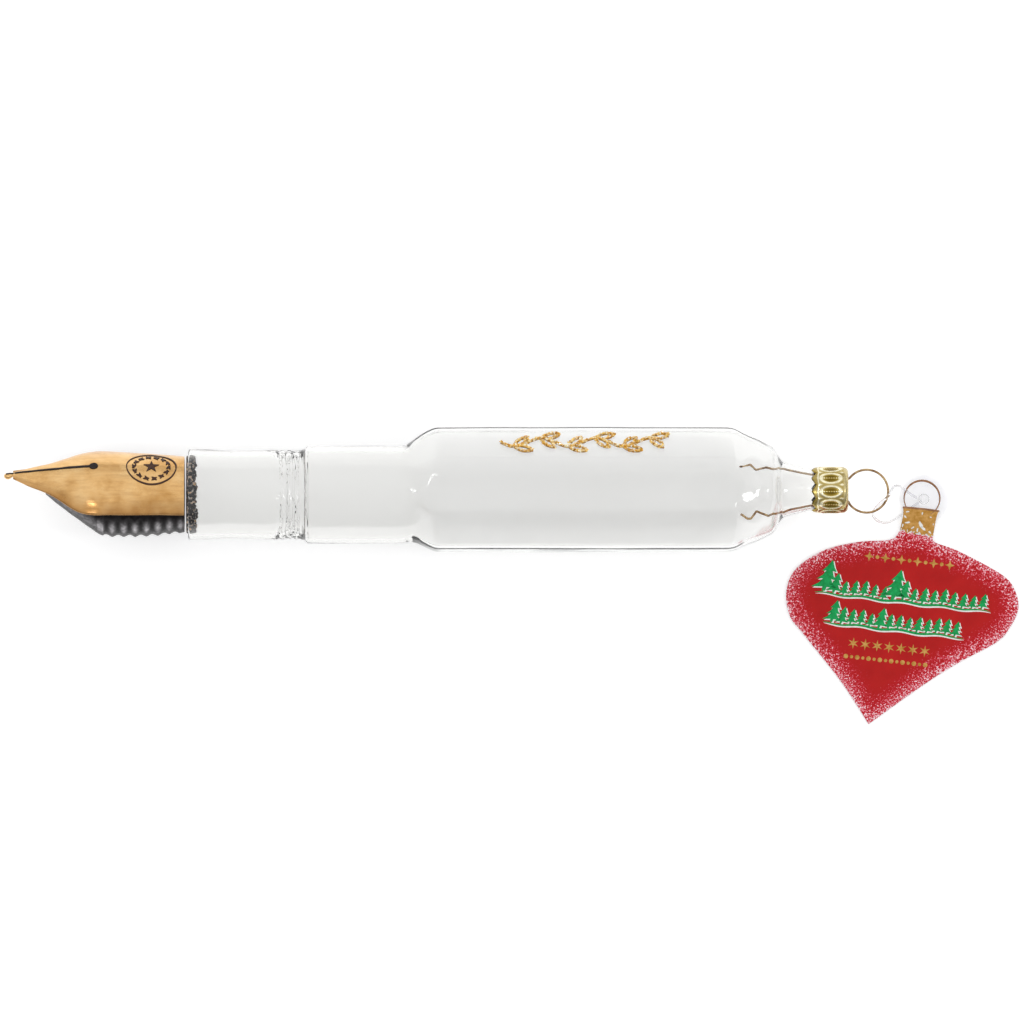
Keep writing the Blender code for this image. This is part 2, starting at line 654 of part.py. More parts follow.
RIGHT_FLANK = [(3.3, 3.0), (5.8, 3.06), (6.9, 3.6), (7.5, 8.1), (9.8, 16.3), (12.0, 19.2),
               (15.0, 20.5), (18.2, 19.9), (21.5, 18.2), (26.6, 12.4), (32.2, 6.9)]
LEFT_FLANK = [(34.5, -7.0), (28.0, -15.1), (25.2, -18.4), (21.0, -19.95), (16.8, -19.1),
              (12.6, -15.05), (9.8, -9.4), (8.4, -4.6), (7.2, -3.2), (6.0, -2.95), (3.3, -3.0)]
TAG_TIP = (40.7, -0.6)


def tag_outline():
    """Round tab, then the bauble's flanks as smooth curves that meet at a sharp tip."""
    points = []
    start, end = math.atan2(-3.0, 3.3), math.atan2(3.0, 3.3) - 2 * math.pi
    for angle in stations(start, end, 22)[1:-1]:
        points.append((TAB_RADIUS * math.cos(angle), TAB_RADIUS * math.sin(angle)))
    for flank in (RIGHT_FLANK + [TAG_TIP], [TAG_TIP] + LEFT_FLANK):
        curve = smooth_path([(a, b, 0) for a, b in flank], 1.9)
        points += [(p.x, p.y) for p in curve[:-1]]
    return points + [LEFT_FLANK[-1]]


def make_tag_film(finish):
    outline = tag_outline()
    rings = [[tag_point(a, b, high) for a, b in outline] for high in (-FILM / 2, FILM / 2)]
    hole = (HOLE_X, HOLE_Y, HOLE_Z)
    film = add_object("tag_film", *loft(rings), finish, origin=hole)
    upright = Vector(tag_point(0, 0, 1)) - Vector(hole)
    combine(film, round_cutter("tag_hole", hole, upright, HOLE_RADIUS, FILM + 1.0))
    return film


def make_loop_lock(finish):
    """Small pressed knot above the tag's hole that keeps both ends of the nylon."""
    base = FILM / 2 + 0.12
    profile = [(base, 0.55), (base + 0.15, 0.85), (base + 0.4, LOCK_RADIUS),
               (base + 0.65, 0.8), (base + LOCK_HEIGHT, 0.45)]
    rings = [[tag_point(r * math.cos(a), r * math.sin(a), high)
              for a in (2 * math.pi * k / 16 for k in range(16))] for high, r in profile]
    return add_object("loop_lock", *loft(rings), finish, origin=LOOP_HANG)


def main():
    clear_scene()
    glass = material("clear_glass", (0.93, 0.94, 0.93), 0.02, transmission=1.0)
    gold = material("gold_lacquer", (0.74, 0.46, 0.2), 0.35, metallic=0.7)
    enamel = material("black_enamel", (0.02, 0.015, 0.015), 0.25)
    brown = material("brown_enamel", (0.16, 0.07, 0.03), 0.4)
    bond = material("dark_bond", (0.05, 0.04, 0.04), 0.6)
    glitter = material("gold_glitter", (0.57, 0.3, 0.05), 0.3, metallic=0.8)
    brass = material("stamped_brass", (0.55, 0.43, 0.13), 0.25, metallic=1.0)
    wire = material("spring_wire", (0.45, 0.36, 0.25), 0.3, metallic=1.0)
    nylon = material("clear_nylon", (0.9, 0.9, 0.92), 0.15, transmission=0.9)
    film = material("printed_film", (0.48, 0.012, 0.01), 0.3)

    make_glass_body(glass)
    make_nib(gold)
    make_nib_point(gold)
    make_slit_enamel(enamel)
    make_nib_emblem(brown)
    make_feed(enamel)
    make_mouth_ring(bond)
    make_glitter_flourish(glitter)
    make_crown_cap(brass)
    make_hanger_ring(wire)
    make_spring_leg("spring_leg_left", 1, LEFT_CRIMPS, wire)
    make_spring_leg("spring_leg_right", -1, RIGHT_CRIMPS, wire)
    make_tag_loop(nylon)
    make_loop_lock(nylon)
    make_tag_film(film)


main()
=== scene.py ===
"""Blown-glass ornament in the shape of a fountain pen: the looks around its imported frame.

+X runs from the nib to the hanger and +Z is up.  Sizes are millimetres until a mesh is written.
"""

import random
from math import asin, atan2, copysign, cos, degrees, exp, hypot, pi, radians, sin, sqrt

import bmesh
import bpy
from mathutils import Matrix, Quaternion, Vector, noise


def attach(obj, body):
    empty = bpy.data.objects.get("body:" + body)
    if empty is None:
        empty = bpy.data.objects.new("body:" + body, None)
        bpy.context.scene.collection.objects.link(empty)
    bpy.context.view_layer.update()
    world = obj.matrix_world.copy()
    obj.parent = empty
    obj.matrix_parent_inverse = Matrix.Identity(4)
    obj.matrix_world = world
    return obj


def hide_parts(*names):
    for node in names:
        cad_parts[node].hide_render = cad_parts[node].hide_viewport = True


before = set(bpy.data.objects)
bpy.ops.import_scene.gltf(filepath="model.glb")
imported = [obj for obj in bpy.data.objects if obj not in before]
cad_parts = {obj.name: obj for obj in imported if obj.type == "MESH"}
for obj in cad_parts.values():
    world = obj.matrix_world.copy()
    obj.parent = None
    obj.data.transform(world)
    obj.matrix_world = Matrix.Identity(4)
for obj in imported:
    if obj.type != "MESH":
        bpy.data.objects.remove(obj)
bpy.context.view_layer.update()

MM = 0.001

# --- sizes the frame was built to ---
BARREL_FLATS = 21.35
BARREL_LENGTH = 50.1
SHOULDER_LENGTH = 9.3
NECK_LENGTH = 11.55
NECK_RADIUS = 3.45
CONE_LENGTH = 5.45
SECTION_LENGTH = 18.4
SECTION_RADIUS = 8.575
GRIP_LENGTH = 20.1
GRIP_RADIUS = 7.96
WAIST_RADIUS = 7.7
WAIST_FROM_MOUTH = 7.7
FRONT_AXIS_Y = -0.79
GLASS_WALL = 0.8
NECK_WALL = 0.35
GROOVE_COUNT = 4
GROOVE_PITCH = 1.2
GROOVE_DEPTH = 0.3
PEN_ROLL = radians(40.2)
NIB_LENGTH = 29.95
NIB_WALL = 0.45
NIB_FEED_GAP = 0.12
NIB_STANDOFF = 0.65
BEAD_RADIUS = 0.7
TIP_GAP = 0.1
BEAD_DROP = 0.67
BOND_WIDTH = 2.3
BOND_WALL = 1.0
FIT_GAP = 0.2
RIB_COUNT = 7
RIB_PITCH = 2.0
RIB_DEPTH = 0.32
FEED_WALL = 0.7
TRIM_LIFT = 0.05
BREATHER_RADIUS = 0.75
GLITTER_HALF_LENGTH = 14.3
GLITTER_WAVE = 1.15
GLITTER_WAVES = 3
CAP_WALL = 0.25
CAP_LENGTH = 6.2
CAP_CORNER = 0.9
CAP_TABS = 10
TAB_DEPTH = 0.8
WIRE_RADIUS = 0.2
WIRE_HOLE_Y = 1.93
WIRE_HOLE_RADIUS = 0.42
RING_RADIUS = 3.76
RING_Y = -0.2
LEG_CLEARANCE = 0.3
LEG_LEAN = 0.27
NYLON_RADIUS = 0.225
FILM = 0.4
TAG_TURN = radians(13.0)
TAG_TILT = radians(0.95)
HOLE_Z = 0.88
HOLE_RADIUS = 1.05
TAB_RADIUS = 4.3

# --- sizes of the looks alone ---
BLOWN_WALL = 0.45               # the barrel's, where the glass is blown widest
PAINT = 0.08                    # thickness of a painted line
CAP_TURN = 9 / 360              # how far the cap's tabs have turned from straight up
PRINT_TURN = radians(6.5)       # the printing sits askew on the die-cut shape
INK_LOW = FILM / 2 + 0.01
INK_HIGH = FILM / 2 + 0.03
PASS_STEP = 0.022               # how much higher each printing pass lies

AXIS_Z = BARREL_FLATS / 2
BARREL_FRONT_X = -BARREL_LENGTH / 2
BARREL_REAR_X = BARREL_LENGTH / 2
NECK_START_X = BARREL_REAR_X + SHOULDER_LENGTH
NECK_END_X = NECK_START_X + NECK_LENGTH
CONE_X = BARREL_FRONT_X - CONE_LENGTH
GRIP_STEP_X = CONE_X - SECTION_LENGTH
MOUTH_X = GRIP_STEP_X - GRIP_LENGTH
MOUTH_BORE = GRIP_RADIUS - GLASS_WALL
NIB_REAR_X = MOUTH_X - NIB_STANDOFF
NIB_FRONT_X = NIB_REAR_X - NIB_LENGTH
NIB_HALF_WIDTH = MOUTH_BORE + 0.4
NIB_CREST = MOUTH_BORE - 0.11
FEED_RADIUS = MOUTH_BORE + 0.28
BEAD_X = NIB_FRONT_X - TIP_GAP - BEAD_RADIUS
BREATHER_X = NIB_REAR_X - 15.85
EMBLEM_X = NIB_REAR_X - 5.75
CAP_RADIUS = NECK_RADIUS + 0.54
CAP_END_X = NECK_END_X + 0.6
RING_X = CAP_END_X + sqrt(RING_RADIUS**2 - WIRE_HOLE_Y**2)
PIVOT_X = CAP_END_X - CAP_WALL - 0.65
HOLE_X = RING_X + 10.15
HOLE_Y = RING_Y - 0.63


# --- numbers ---

def clamp(value, low=0.0, high=1.0):
    return max(low, min(high, value))


def turns(count):
    """Angles of equal steps round a circle."""
    return [2 * pi * n / count for n in range(count)]


def stations(start, end, count):
    return [start + (end - start) * n / (count - 1) for n in range(count)]


def bell(offset, width):
    """1 at no offset, fading over the width."""
    return exp(-((offset / width) ** 2))


def uneven(x, y, z):
    """Smooth noise, about -1 to 1."""
    return noise.noise(Vector((x, y, z)))


def uneven_round(seed, size, angle):
    """Smooth noise that closes on itself round a circle."""
    return uneven(seed, size * cos(angle), size * sin(angle))


# --- camera and objects ---

def add_object(name, data):
    made = bpy.data.objects.new(name, data)
    bpy.context.collection.objects.link(made)
    return made


def aim(made, where, target):
    """Stand a camera or a light somewhere, facing the target."""
    made.location = where
    made.rotation_mode = "QUATERNION"
    made.rotation_quaternion = (target - made.location).to_track_quat("-Z", "Y")


def add_camera():
    """Straight over the pen, leaning 4.8 degrees towards its near side, through a long lens."""
    target, distance = Vector((-0.01234, -0.00386, 0.010675)), 5.0
    data = bpy.data.cameras.new("camera")
    data.sensor_width = 36.0
    data.lens = 1004.46
    data.clip_start, data.clip_end = 0.01, 20.0
    made = add_object("camera", data)
    aim(made, target + distance * Vector((0.0, -0.0837, 0.9965)), target)
    bpy.context.scene.camera = made


# --- materials ---

def srgb(*channels):
    """Linear colour, with its alpha, of an 8-bit one."""
    return (*(c / 255 / 12.92 if c <= 10 else ((c / 255 + 0.055) / 1.055) ** 2.4 for c in channels), 1.0)


class Shading:
    """Node tree of a material or a world, built from procedural nodes round its own shader."""

    def __init__(self, made, shader, coords, **sockets):
        self.made = made
        made.use_nodes = True
        self.tree = made.node_tree
        self.shader = self.tree.nodes[shader]
        self.coords = self.node("TexCoord").outputs[coords]
        self.fill(self.shader, sockets)

    def fill(self, node, inputs):
        """Link or set a node's inputs, each named (or numbered) with what it gets."""
        for name, value in inputs.items():
            socket = node.inputs[name.replace("_", " ") if isinstance(name, str) else name]
            if hasattr(value, "links"):
                self.tree.links.new(value, socket)
            else:
                socket.default_value = value
        return node

    def node(self, kind, **inputs):
        return self.fill(self.tree.nodes.new("ShaderNode" + kind), inputs)

    def noise(self, size, detail=3.0, rough=0.55, stretch=None):
        """Noise with features about a size in millimetres."""
        where = self.coords
        if stretch:
            where = self.node("Mapping", Vector=where, Scale=stretch).outputs["Vector"]
        return self.node("TexNoise", Vector=where, Scale=1000 / size, Detail=detail,
                         Roughness=rough).outputs["Fac"]

    def ramp(self, fac, *stops, linear=False):
        """Colours by place, 8-bit unless they are linear already."""
        node = self.node("ValToRGB", Fac=fac)
        marks = node.color_ramp.elements
        while len(marks) < len(stops):
            marks.new(0.5)
        for mark, (place, colour) in zip(marks, stops):
            mark.position = place
            mark.color = (*colour, 1.0) if linear else srgb(*colour)
        return node.outputs["Color"]

    def spread(self, fac, low, high, start=0.3, end=0.7):
        return self.node("MapRange", Value=fac, From_Min=start, From_Max=end, To_Min=low,
                         To_Max=high).outputs["Result"]

    def maths(self, operation, a, b):
        node = self.fill(self.node("Math"), {0: a, 1: b})
        node.operation = operation
        return node.outputs[0]

    def attribute(self, name):
        node = self.node("Attribute")
        node.attribute_name = name
        return node.outputs["Fac"]

    def mix(self, fac, a, b):
        node = self.node("Mix")
        node.data_type = "RGBA"
        return self.fill(node, {0: fac, 6: a, 7: b}).outputs[2]

    def done(self, colour, rough, height, millimetres, strength):
        """The material, with its colour, its roughness and the relief of a height on its shader."""
        bump = self.node("Bump", Height=height, Strength=strength, Distance=millimetres * MM)
        self.fill(self.shader, {"Base Color": colour, "Roughness": rough, "Normal": bump.outputs["Normal"]})
        return self.made


def surface(name, **sockets):
    return Shading(bpy.data.materials.new(name), "Principled BSDF", "Object", **sockets)


def glass_finish():
    """Hand-blown clear glass: grey in depth, softly waved, with faint drawn streaks."""
    f = surface("clear_glass", Transmission_Weight=1.0, IOR=1.46)
    depth = f.node("VolumeAbsorption", Color=(0.31, 0.3, 0.2, 1.0), Density=56.0)
    f.fill(f.tree.nodes["Material Output"], {"Volume": depth.outputs["Volume"]})
    tint = f.ramp(f.noise(9.0, 2.0), (0.3, (0.985, 0.986, 0.98)), (0.7, (0.998, 0.999, 0.995)), linear=True)
    waves = f.noise(7.0, 1.5, 0.4, (0.45, 1.0, 1.0))
    return f.done(tint, f.spread(f.noise(4.0), 0.0, 0.018), waves, 0.2, 0.4)


def lacquer_finish():
    """Gold lacquer brushed over glass: warm, thin, browner in patches, with painted shade darkening it down
    the flanks.
    """
    f = surface("gold_lacquer", Metallic=0.85, Coat_Weight=0.2, Coat_Roughness=0.12)
    cloud = f.ramp(f.noise(3.4, 4.0), (0.28, (206, 156, 90)), (0.5, (232, 186, 122)),
                   (0.74, (242, 202, 142)))
    strokes = f.noise(0.55, 3.0, 0.6, (0.12, 1.0, 1.0))
    streaked = f.mix(f.spread(strokes, 0.0, 0.35, 0.45, 0.8), cloud, srgb(160, 112, 56))
    # painted shade: darker brown towards the nib's flanks, where its surface turns away from the light
    tint = f.mix(f.attribute("flank"), streaked, srgb(156, 104, 44))
    return f.done(tint, f.spread(f.noise(1.6), 0.16, 0.28), strokes, 0.035, 0.6)


def feed_finish():
    """Black lacquer, gloss in the grooves, with painted grey highlights along the ribs."""
    f = surface("black_lacquer", Coat_Weight=0.03, Coat_Roughness=0.12, Specular_IOR_Level=0.12)
    black = f.ramp(f.noise(1.3, 5.0, 0.62), (0.45, (9, 4, 5)), (0.75, (28, 22, 25)))
    # painted highlight: light grey colour on the rib crests, where highlights fall in the view
    painted_rib_highlight = f.maths("MULTIPLY", f.attribute("rib_highlight"), f.spread(f.noise(0.7, 4.0, 0.6), 0.25, 1.0))
    return f.done(f.mix(painted_rib_highlight, black, srgb(222, 218, 221)), f.spread(f.noise(0.8), 0.2, 0.42),
                  f.noise(0.4, 4.0), 0.05, 0.8)


def bond_finish():
    """Scorched join: soot black, with silver and gold flecks."""
    f = surface("dark_bond", Metallic=0.3, Specular_IOR_Level=0.12)
    flecks = f.noise(0.42, 2.0, 0.6)
    tint = f.ramp(flecks, (0.3, (10, 5, 6)), (0.56, (22, 16, 17)),
                  (0.6, (206, 200, 196)), (0.66, (196, 144, 74)))
    return f.done(tint, f.spread(f.noise(0.5), 0.25, 0.7), flecks, 0.12, 0.9)


def glitter_finish():
    """Gold flakes, each its own tone and gloss at random; the palest, near-white ones are painted sparkle.
    """
    f = surface("gold_glitter", Metallic=0.85)
    shade = f.attribute("grain")
    # random tone per flake; the near-white end of the ramp is painted sparkle
    tint = f.ramp(shade, (0.0, (160, 96, 14)), (0.25, (232, 172, 52)),
                  (0.55, (255, 218, 116)), (0.82, (255, 252, 232)))
    return f.done(tint, f.spread(shade, 0.45, 0.16, 0.0, 1.0), f.noise(0.1, 2.0), 0.01, 0.5)


def brass_finish():
    """Thin stamped brass foil, with painted shade in its hollows and painted highlights on its ridges."""
    f = surface("stamped_brass", Metallic=1.0)
    # painted light: the stamped relief sets the colour, dark brown in the hollows as painted shade and near
    # white on the ridges as painted highlight
    base = f.ramp(f.attribute("relief"), (0.0, (84, 62, 12)), (0.38, (170, 146, 62)),
                  (0.76, (255, 248, 214)))
    tarnish = f.spread(f.noise(0.9, 4.0, 0.6), 0.0, 0.45, 0.5, 0.75)
    return f.done(f.mix(tarnish, base, srgb(120, 92, 30)), f.spread(f.noise(0.6), 0.16, 0.32),
                  f.noise(0.3, 3.0), 0.025, 0.7)


def red_finish():
    """Red ink that breaks into white and pink speckles towards its edge."""
    f = surface("printed_film", Coat_Weight=0.05, Coat_Roughness=0.1, Specular_IOR_Level=0.15)
    body = f.ramp(f.noise(4.0, 4.0), (0.3, (174, 14, 14)), (0.7, (188, 22, 20)))
    fade = f.attribute("fade")
    grain = f.maths("ADD", f.noise(0.27, 2.0, 0.7), f.maths("MULTIPLY", fade, 0.22))
    speckled = f.ramp(grain, (0.62, (180, 14, 20)), (0.67, (208, 36, 58)),
                      (0.74, (236, 120, 138)), (0.8, (250, 232, 236)))
    return f.done(f.mix(f.spread(fade, 0.0, 1.0, 0.0, 0.35), body, speckled),
                  f.spread(f.noise(0.4), 0.28, 0.45), f.noise(0.25, 2.0), 0.01, 0.5)


def plain_finish(name, tint, stops, gloss, low, high, grain, height, strength, **sockets):
    """One noise each for colour, roughness and relief; a noise is given as (size, detail, ...)."""
    f = surface(name, **sockets)
    return f.done(f.ramp(f.noise(*tint), *stops), f.spread(f.noise(*gloss), low, high),
                  f.noise(*grain), height, strength)


def wire_finish():
    """Brass-plated spring wire going brown."""
    stops = (0.36, (116, 84, 58)), (0.52, (168, 136, 98)), (0.7, (214, 190, 140))
    return plain_finish("spring_wire", (1.6, 4.0, 0.6), stops, (0.5,), 0.2, 0.38, (0.12, 2.0), 0.008, 0.6,
                        Metallic=1.0)


def nylon_finish():
    return plain_finish("clear_nylon", (0.7,), ((0.3, (238, 238, 240)), (0.7, (250, 250, 251))), (0.4,),
                        0.06, 0.2, (0.3, 2.0), 0.01, 0.4, Transmission_Weight=0.95, IOR=1.36)


def film_finish():
    """Clear polyester film with fine scuffs."""
    return plain_finish("clear_film", (2.5,), ((0.3, (246, 246, 249)), (0.7, (253, 253, 254))), (0.6, 4.0),
                        0.03, 0.12, (1.8,), 0.02, 0.4, Transmission_Weight=0.96, IOR=1.38)


def enamel_finish(name, deep, light, roughness):
    """Glossy paint laid by brush."""
    return plain_finish(name, (0.8, 4.0), ((0.35, deep), (0.75, light)), (0.5,),
                        roughness * 0.7, roughness * 1.3, (0.35, 3.0), 0.03, 0.7,
                        Coat_Weight=0.1, Coat_Roughness=0.1, Specular_IOR_Level=0.25)


def ink_finish(name, deep, light):
    """Screen-printed ink with slight unevenness."""
    return plain_finish(name, (0.7, 4.0, 0.6), ((0.35, deep), (0.68, light)), (0.5,),
                        0.3, 0.5, (0.2, 3.0), 0.012, 0.6,
                        Coat_Weight=0.05, Coat_Roughness=0.15, Specular_IOR_Level=0.15)


# --- mesh tools ---

def loft(rings, cyclic=False):
    """Points and faces of rings joined in order; a cyclic loft closes on itself like a tyre."""
    count, total = len(rings[0]), len(rings)
    faces = []
    for i in range(total if cyclic else total - 1):
        a, b = i * count, (i + 1) % total * count
        faces += [(a + j, a + (j + 1) % count, b + (j + 1) % count, b + j) for j in range(count)]
    if not cyclic:
        faces += [tuple(range(count)), tuple(range((total - 1) * count, total * count))]
    return [p for ring in rings for p in ring], faces


def join(parts):
    points, faces = [], []
    for some_points, some_faces in parts:
        base = len(points)
        points += some_points
        faces += [tuple(base + i for i in face) for face in some_faces]
    return points, faces


def piece(name, shape, finish, body, nodes=(), sharp=40):
    """One finished mesh piece riding a body, in place of the frame's own nodes if any."""
    points, faces = shape
    mesh = bpy.data.meshes.new(name)
    mesh.from_pydata([Vector(p) * MM for p in points], [], faces)
    shell = bmesh.new()
    shell.from_mesh(mesh)
    bmesh.ops.recalc_face_normals(shell, faces=shell.faces)
    shell.to_mesh(mesh)
    shell.free()
    mesh.shade_smooth()
    mesh.set_sharp_from_angle(angle=radians(sharp))
    mesh.materials.append(finish)
    made = add_object(name, mesh)
    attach(made, body)
    if nodes:
        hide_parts(*nodes)
    return made


def evaluated_mesh(made):
    bpy.context.view_layer.update()
    graph = bpy.context.evaluated_depsgraph_get()
    return bpy.data.meshes.new_from_object(made.evaluated_get(graph))


def paint_values(made, name, values):
    """A float for each point, which the piece's material reads."""
    layer = made.data.attributes.new(name, "FLOAT", "POINT")
    layer.data.foreach_set("value", values)


def smooth(rows, x):
    """Catmull-Rom reading of rows (x, value, ...) at x; past either end it holds the end row."""
    if x <= rows[0][0]:
        return rows[0][1:]
    if x >= rows[-1][0]:
        return rows[-1][1:]
    i = max(n for n in range(len(rows) - 1) if rows[n][0] <= x)
    r0, r1 = rows[max(i - 1, 0)], rows[i]
    r2, r3 = rows[i + 1], rows[min(i + 2, len(rows) - 1)]
    span = r2[0] - r1[0]
    t = (x - r1[0]) / span
    values = []
    for c in range(1, len(r1)):
        slope1 = (r2[c] - r0[c]) / (r2[0] - r0[0]) * span
        slope2 = (r3[c] - r1[c]) / (r3[0] - r1[0]) * span
        values.append(r1[c] * (2 * t**3 - 3 * t**2 + 1) + slope1 * (t**3 - 2 * t**2 + t)
                      + r2[c] * (3 * t**2 - 2 * t**3) + slope2 * (t**3 - t**2))
    return values


def smooth_path(route, step):
    """Points about a step apart along a smooth curve through the route's own points."""
    knots = [Vector(p) for p in route]
    dense = []
    for i in range(len(knots) - 1):
        p0, p1 = knots[max(i - 1, 0)], knots[i]
        p2, p3 = knots[i + 1], knots[min(i + 2, len(knots) - 1)]
        for t in (n / 20 for n in range(20)):
            dense.append(0.5 * (2 * p1 + (p2 - p0) * t + (2 * p0 - 5 * p1 + 4 * p2 - p3) * t**2
                                + (3 * p1 - p0 - 3 * p2 + p3) * t**3))
    dense.append(knots[-1])
    total = sum((b - a).length for a, b in zip(dense, dense[1:]))
    count = max(2, round(total / step))
    spacing, walked, path = total / count, 0.0, [dense[0]]
    for a, b in zip(dense, dense[1:]):
        walked += (b - a).length
        if walked >= spacing * len(path) - 1e-6 and len(path) < count:
            path.append(b)
    return path + [dense[-1]]


def smooth_outline(route, step):
    return [(p.x, p.y) for p in smooth_path([(a, b, 0) for a, b in route], step)]


def rounded(path, times):
    """A polyline with its corners cut until they are round."""
    points = [Vector(p) for p in path]
    for _ in range(times):
        cut = [points[0]]
        for a, b in zip(points, points[1:]):
            cut += [a.lerp(b, 0.25), a.lerp(b, 0.75)]
        points = cut + [points[-1]]
    return points


def tube(path, radius, sides):
    """A wire of round section along a path, with domed ends."""
    last = len(path) - 1
    along = [(path[min(i + 1, last)] - path[max(i - 1, 0)]).normalized() for i in range(last + 1)]
    side = along[0].orthogonal().normalized()
    rings = []
    for i, point in enumerate(path):
        side = (side - along[i] * side.dot(along[i])).normalized()
        other = along[i].cross(side)
        ring = [point + radius * (side * cos(a) + other * sin(a)) for a in turns(sides)]
        dome = [point + (p - point) * 0.6 for p in ring]
        if i == 0:
            rings.append([p - along[0] * radius * 0.35 for p in dome])
        rings.append(ring)
        if i == last:
            rings.append([p + along[i] * radius * 0.35 for p in dome])
    return loft(rings)


def ribbon(path, half_width, place, low=INK_LOW, high=INK_HIGH):
    """A painted stroke: path of (u, v) on a surface, placed by place(u, v, lift)."""
    last = len(path) - 1
    rings = []
    for i, (u, v) in enumerate(path):
        a, b = path[max(i - 1, 0)], path[min(i + 1, last)]
        du, dv = b[0] - a[0], b[1] - a[1]
        length = hypot(du, dv) or 1.0
        nu, nv = -dv / length, du / length
        half = half_width(i / last) if callable(half_width) else half_width
        section = (-1, low), (-0.8, high), (0, high + 0.25 * (high - low)), (0.8, high), (1, low)
        rings.append([place(u + nu * half * s, v + nv * half * s, lift) for s, lift in section])
    return loft(rings)


def inset(outline, middle, share):
    """An outline drawn in towards its middle."""
    cu, cv = middle
    return [(cu + (u - cu) * share, cv + (v - cv) * share) for u, v in outline]


def patch(outline, place, low=INK_LOW, high=INK_HIGH):
    """A painted patch with soft edges: outline of (u, v) on a surface."""
    middle = [sum(p[i] for p in outline) / len(outline) for i in (0, 1)]
    return loft([[place(u, v, lift) for u, v in inset(outline, middle, share)]
                 for share, lift in ((1.0, low), (0.93, high))])


def leaf(u, v, turn, length, width):
    """Outline of a pointed leaf growing from (u, v)."""
    edge = [(length * n / 9, width / 2 * sin(pi * n / 9) ** 0.8) for n in range(10)]
    shape = edge + [(a, -b) for a, b in reversed(edge[1:-1])]
    return [(u + a * cos(turn) - b * sin(turn), v + a * sin(turn) + b * cos(turn)) for a, b in shape]


def star(u, v, radius, arms, inner, turn=0.0):
    reaches = [radius, radius * inner] * arms
    angles = [turn + pi * n / arms for n in range(2 * arms)]
    return [(u + r * cos(a), v + r * sin(a)) for r, a in zip(reaches, angles)]


def disc(u, v, radius, points=14):
    return [(u + radius * cos(a), v + radius * sin(a)) for a in turns(points)]


# --- nylon loop ---

LOOP_ROUTE = [
    (58.66, -0.65, 1.5), (57.6, 0.0, 1.5), (56.8, 0.6, 1.66), (56.1, 1.08, 2.45),
    (55.55, 1.28, 3.9), (55.1, 1.2, 5.6), (54.7, 0.98, 7.5), (54.4, 0.62, 9.1),
    (54.12, 0.1, 10.35), (53.85, -0.64, 11.02), (53.35, -1.25, 11.22), (52.77, -1.77, 11.12),
    (52.26, -2.2, 10.85), (51.77, -2.67, 10.5), (51.3, -3.15, 10.22), (50.95, -3.68, 10.06),
    (50.86, -4.25, 9.75), (51.15, -4.8, 8.9), (51.85, -5.2, 7.4), (52.75, -5.3, 5.6),
    (53.7, -5.05, 3.8), (54.6, -4.5, 2.1), (55.35, -3.97, 0.9), (56.15, -3.4, 0.4),
    (57.2, -2.6, 0.28), (58.2, -1.88, 0.27), (58.9, -1.4, 0.33), (59.5, -1.02, 0.66),
]
BUTTON_BASE = FILM / 2 + 0.12
BUTTON_PROFILE = [(0, 0.5), (0.04, 0.68), (0.16, 0.86), (0.38, 0.95), (0.56, 0.9), (0.67, 0.78),
                  (0.66, 0.64), (0.58, 0.54), (0.6, 0.44), (0.72, 0.36), (0.8, 0.24), (0.79, 0.1)]


def tag_point(along, across, high):
    """Tag frame to the pen's: along towards the tip, across to the right, high above mid-film."""
    flat_along = along * cos(TAG_TILT) + high * sin(TAG_TILT)
    z = HOLE_Z - along * sin(TAG_TILT) + high * cos(TAG_TILT)
    return (HOLE_X - flat_along * sin(TAG_TURN) + across * cos(TAG_TURN),
            HOLE_Y - flat_along * cos(TAG_TURN) - across * sin(TAG_TURN), z)


def make_lock(finish):
    """Pressed nylon button over the tag's hole: a rounded rim, a groove and a dimpled middle."""
    rings = [[tag_point(r * cos(a), r * sin(a), BUTTON_BASE + high) for a in turns(40)]
             for high, r in BUTTON_PROFILE]
    return piece("loop_button", loft(rings), finish, "loop", ["loop_lock"])


def poly_spline(curve, knots):
    spline = curve.splines.new("POLY")
    spline.points.add(len(knots) - 1)
    for point, knot in zip(spline.points, knots):
        point.co = (*knot, 1.0)
    return spline


def make_loop(finish, lock):
    """Nylon thread over the hanger's eye and back to the tag's hole."""
    path = [p * MM for p in smooth_path(LOOP_ROUTE, 0.28)]
    curve = bpy.data.curves.new("nylon_loop", "CURVE")
    curve.dimensions = "3D"
    curve.bevel_depth = NYLON_RADIUS * MM
    curve.bevel_resolution = 4
    curve.use_fill_caps = True
    poly_spline(curve, path).use_smooth = True
    curve.materials.append(finish)
    made = add_object("nylon_loop", curve)
    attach(made, "loop")
    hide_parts("tag_loop")


# --- glass body ---

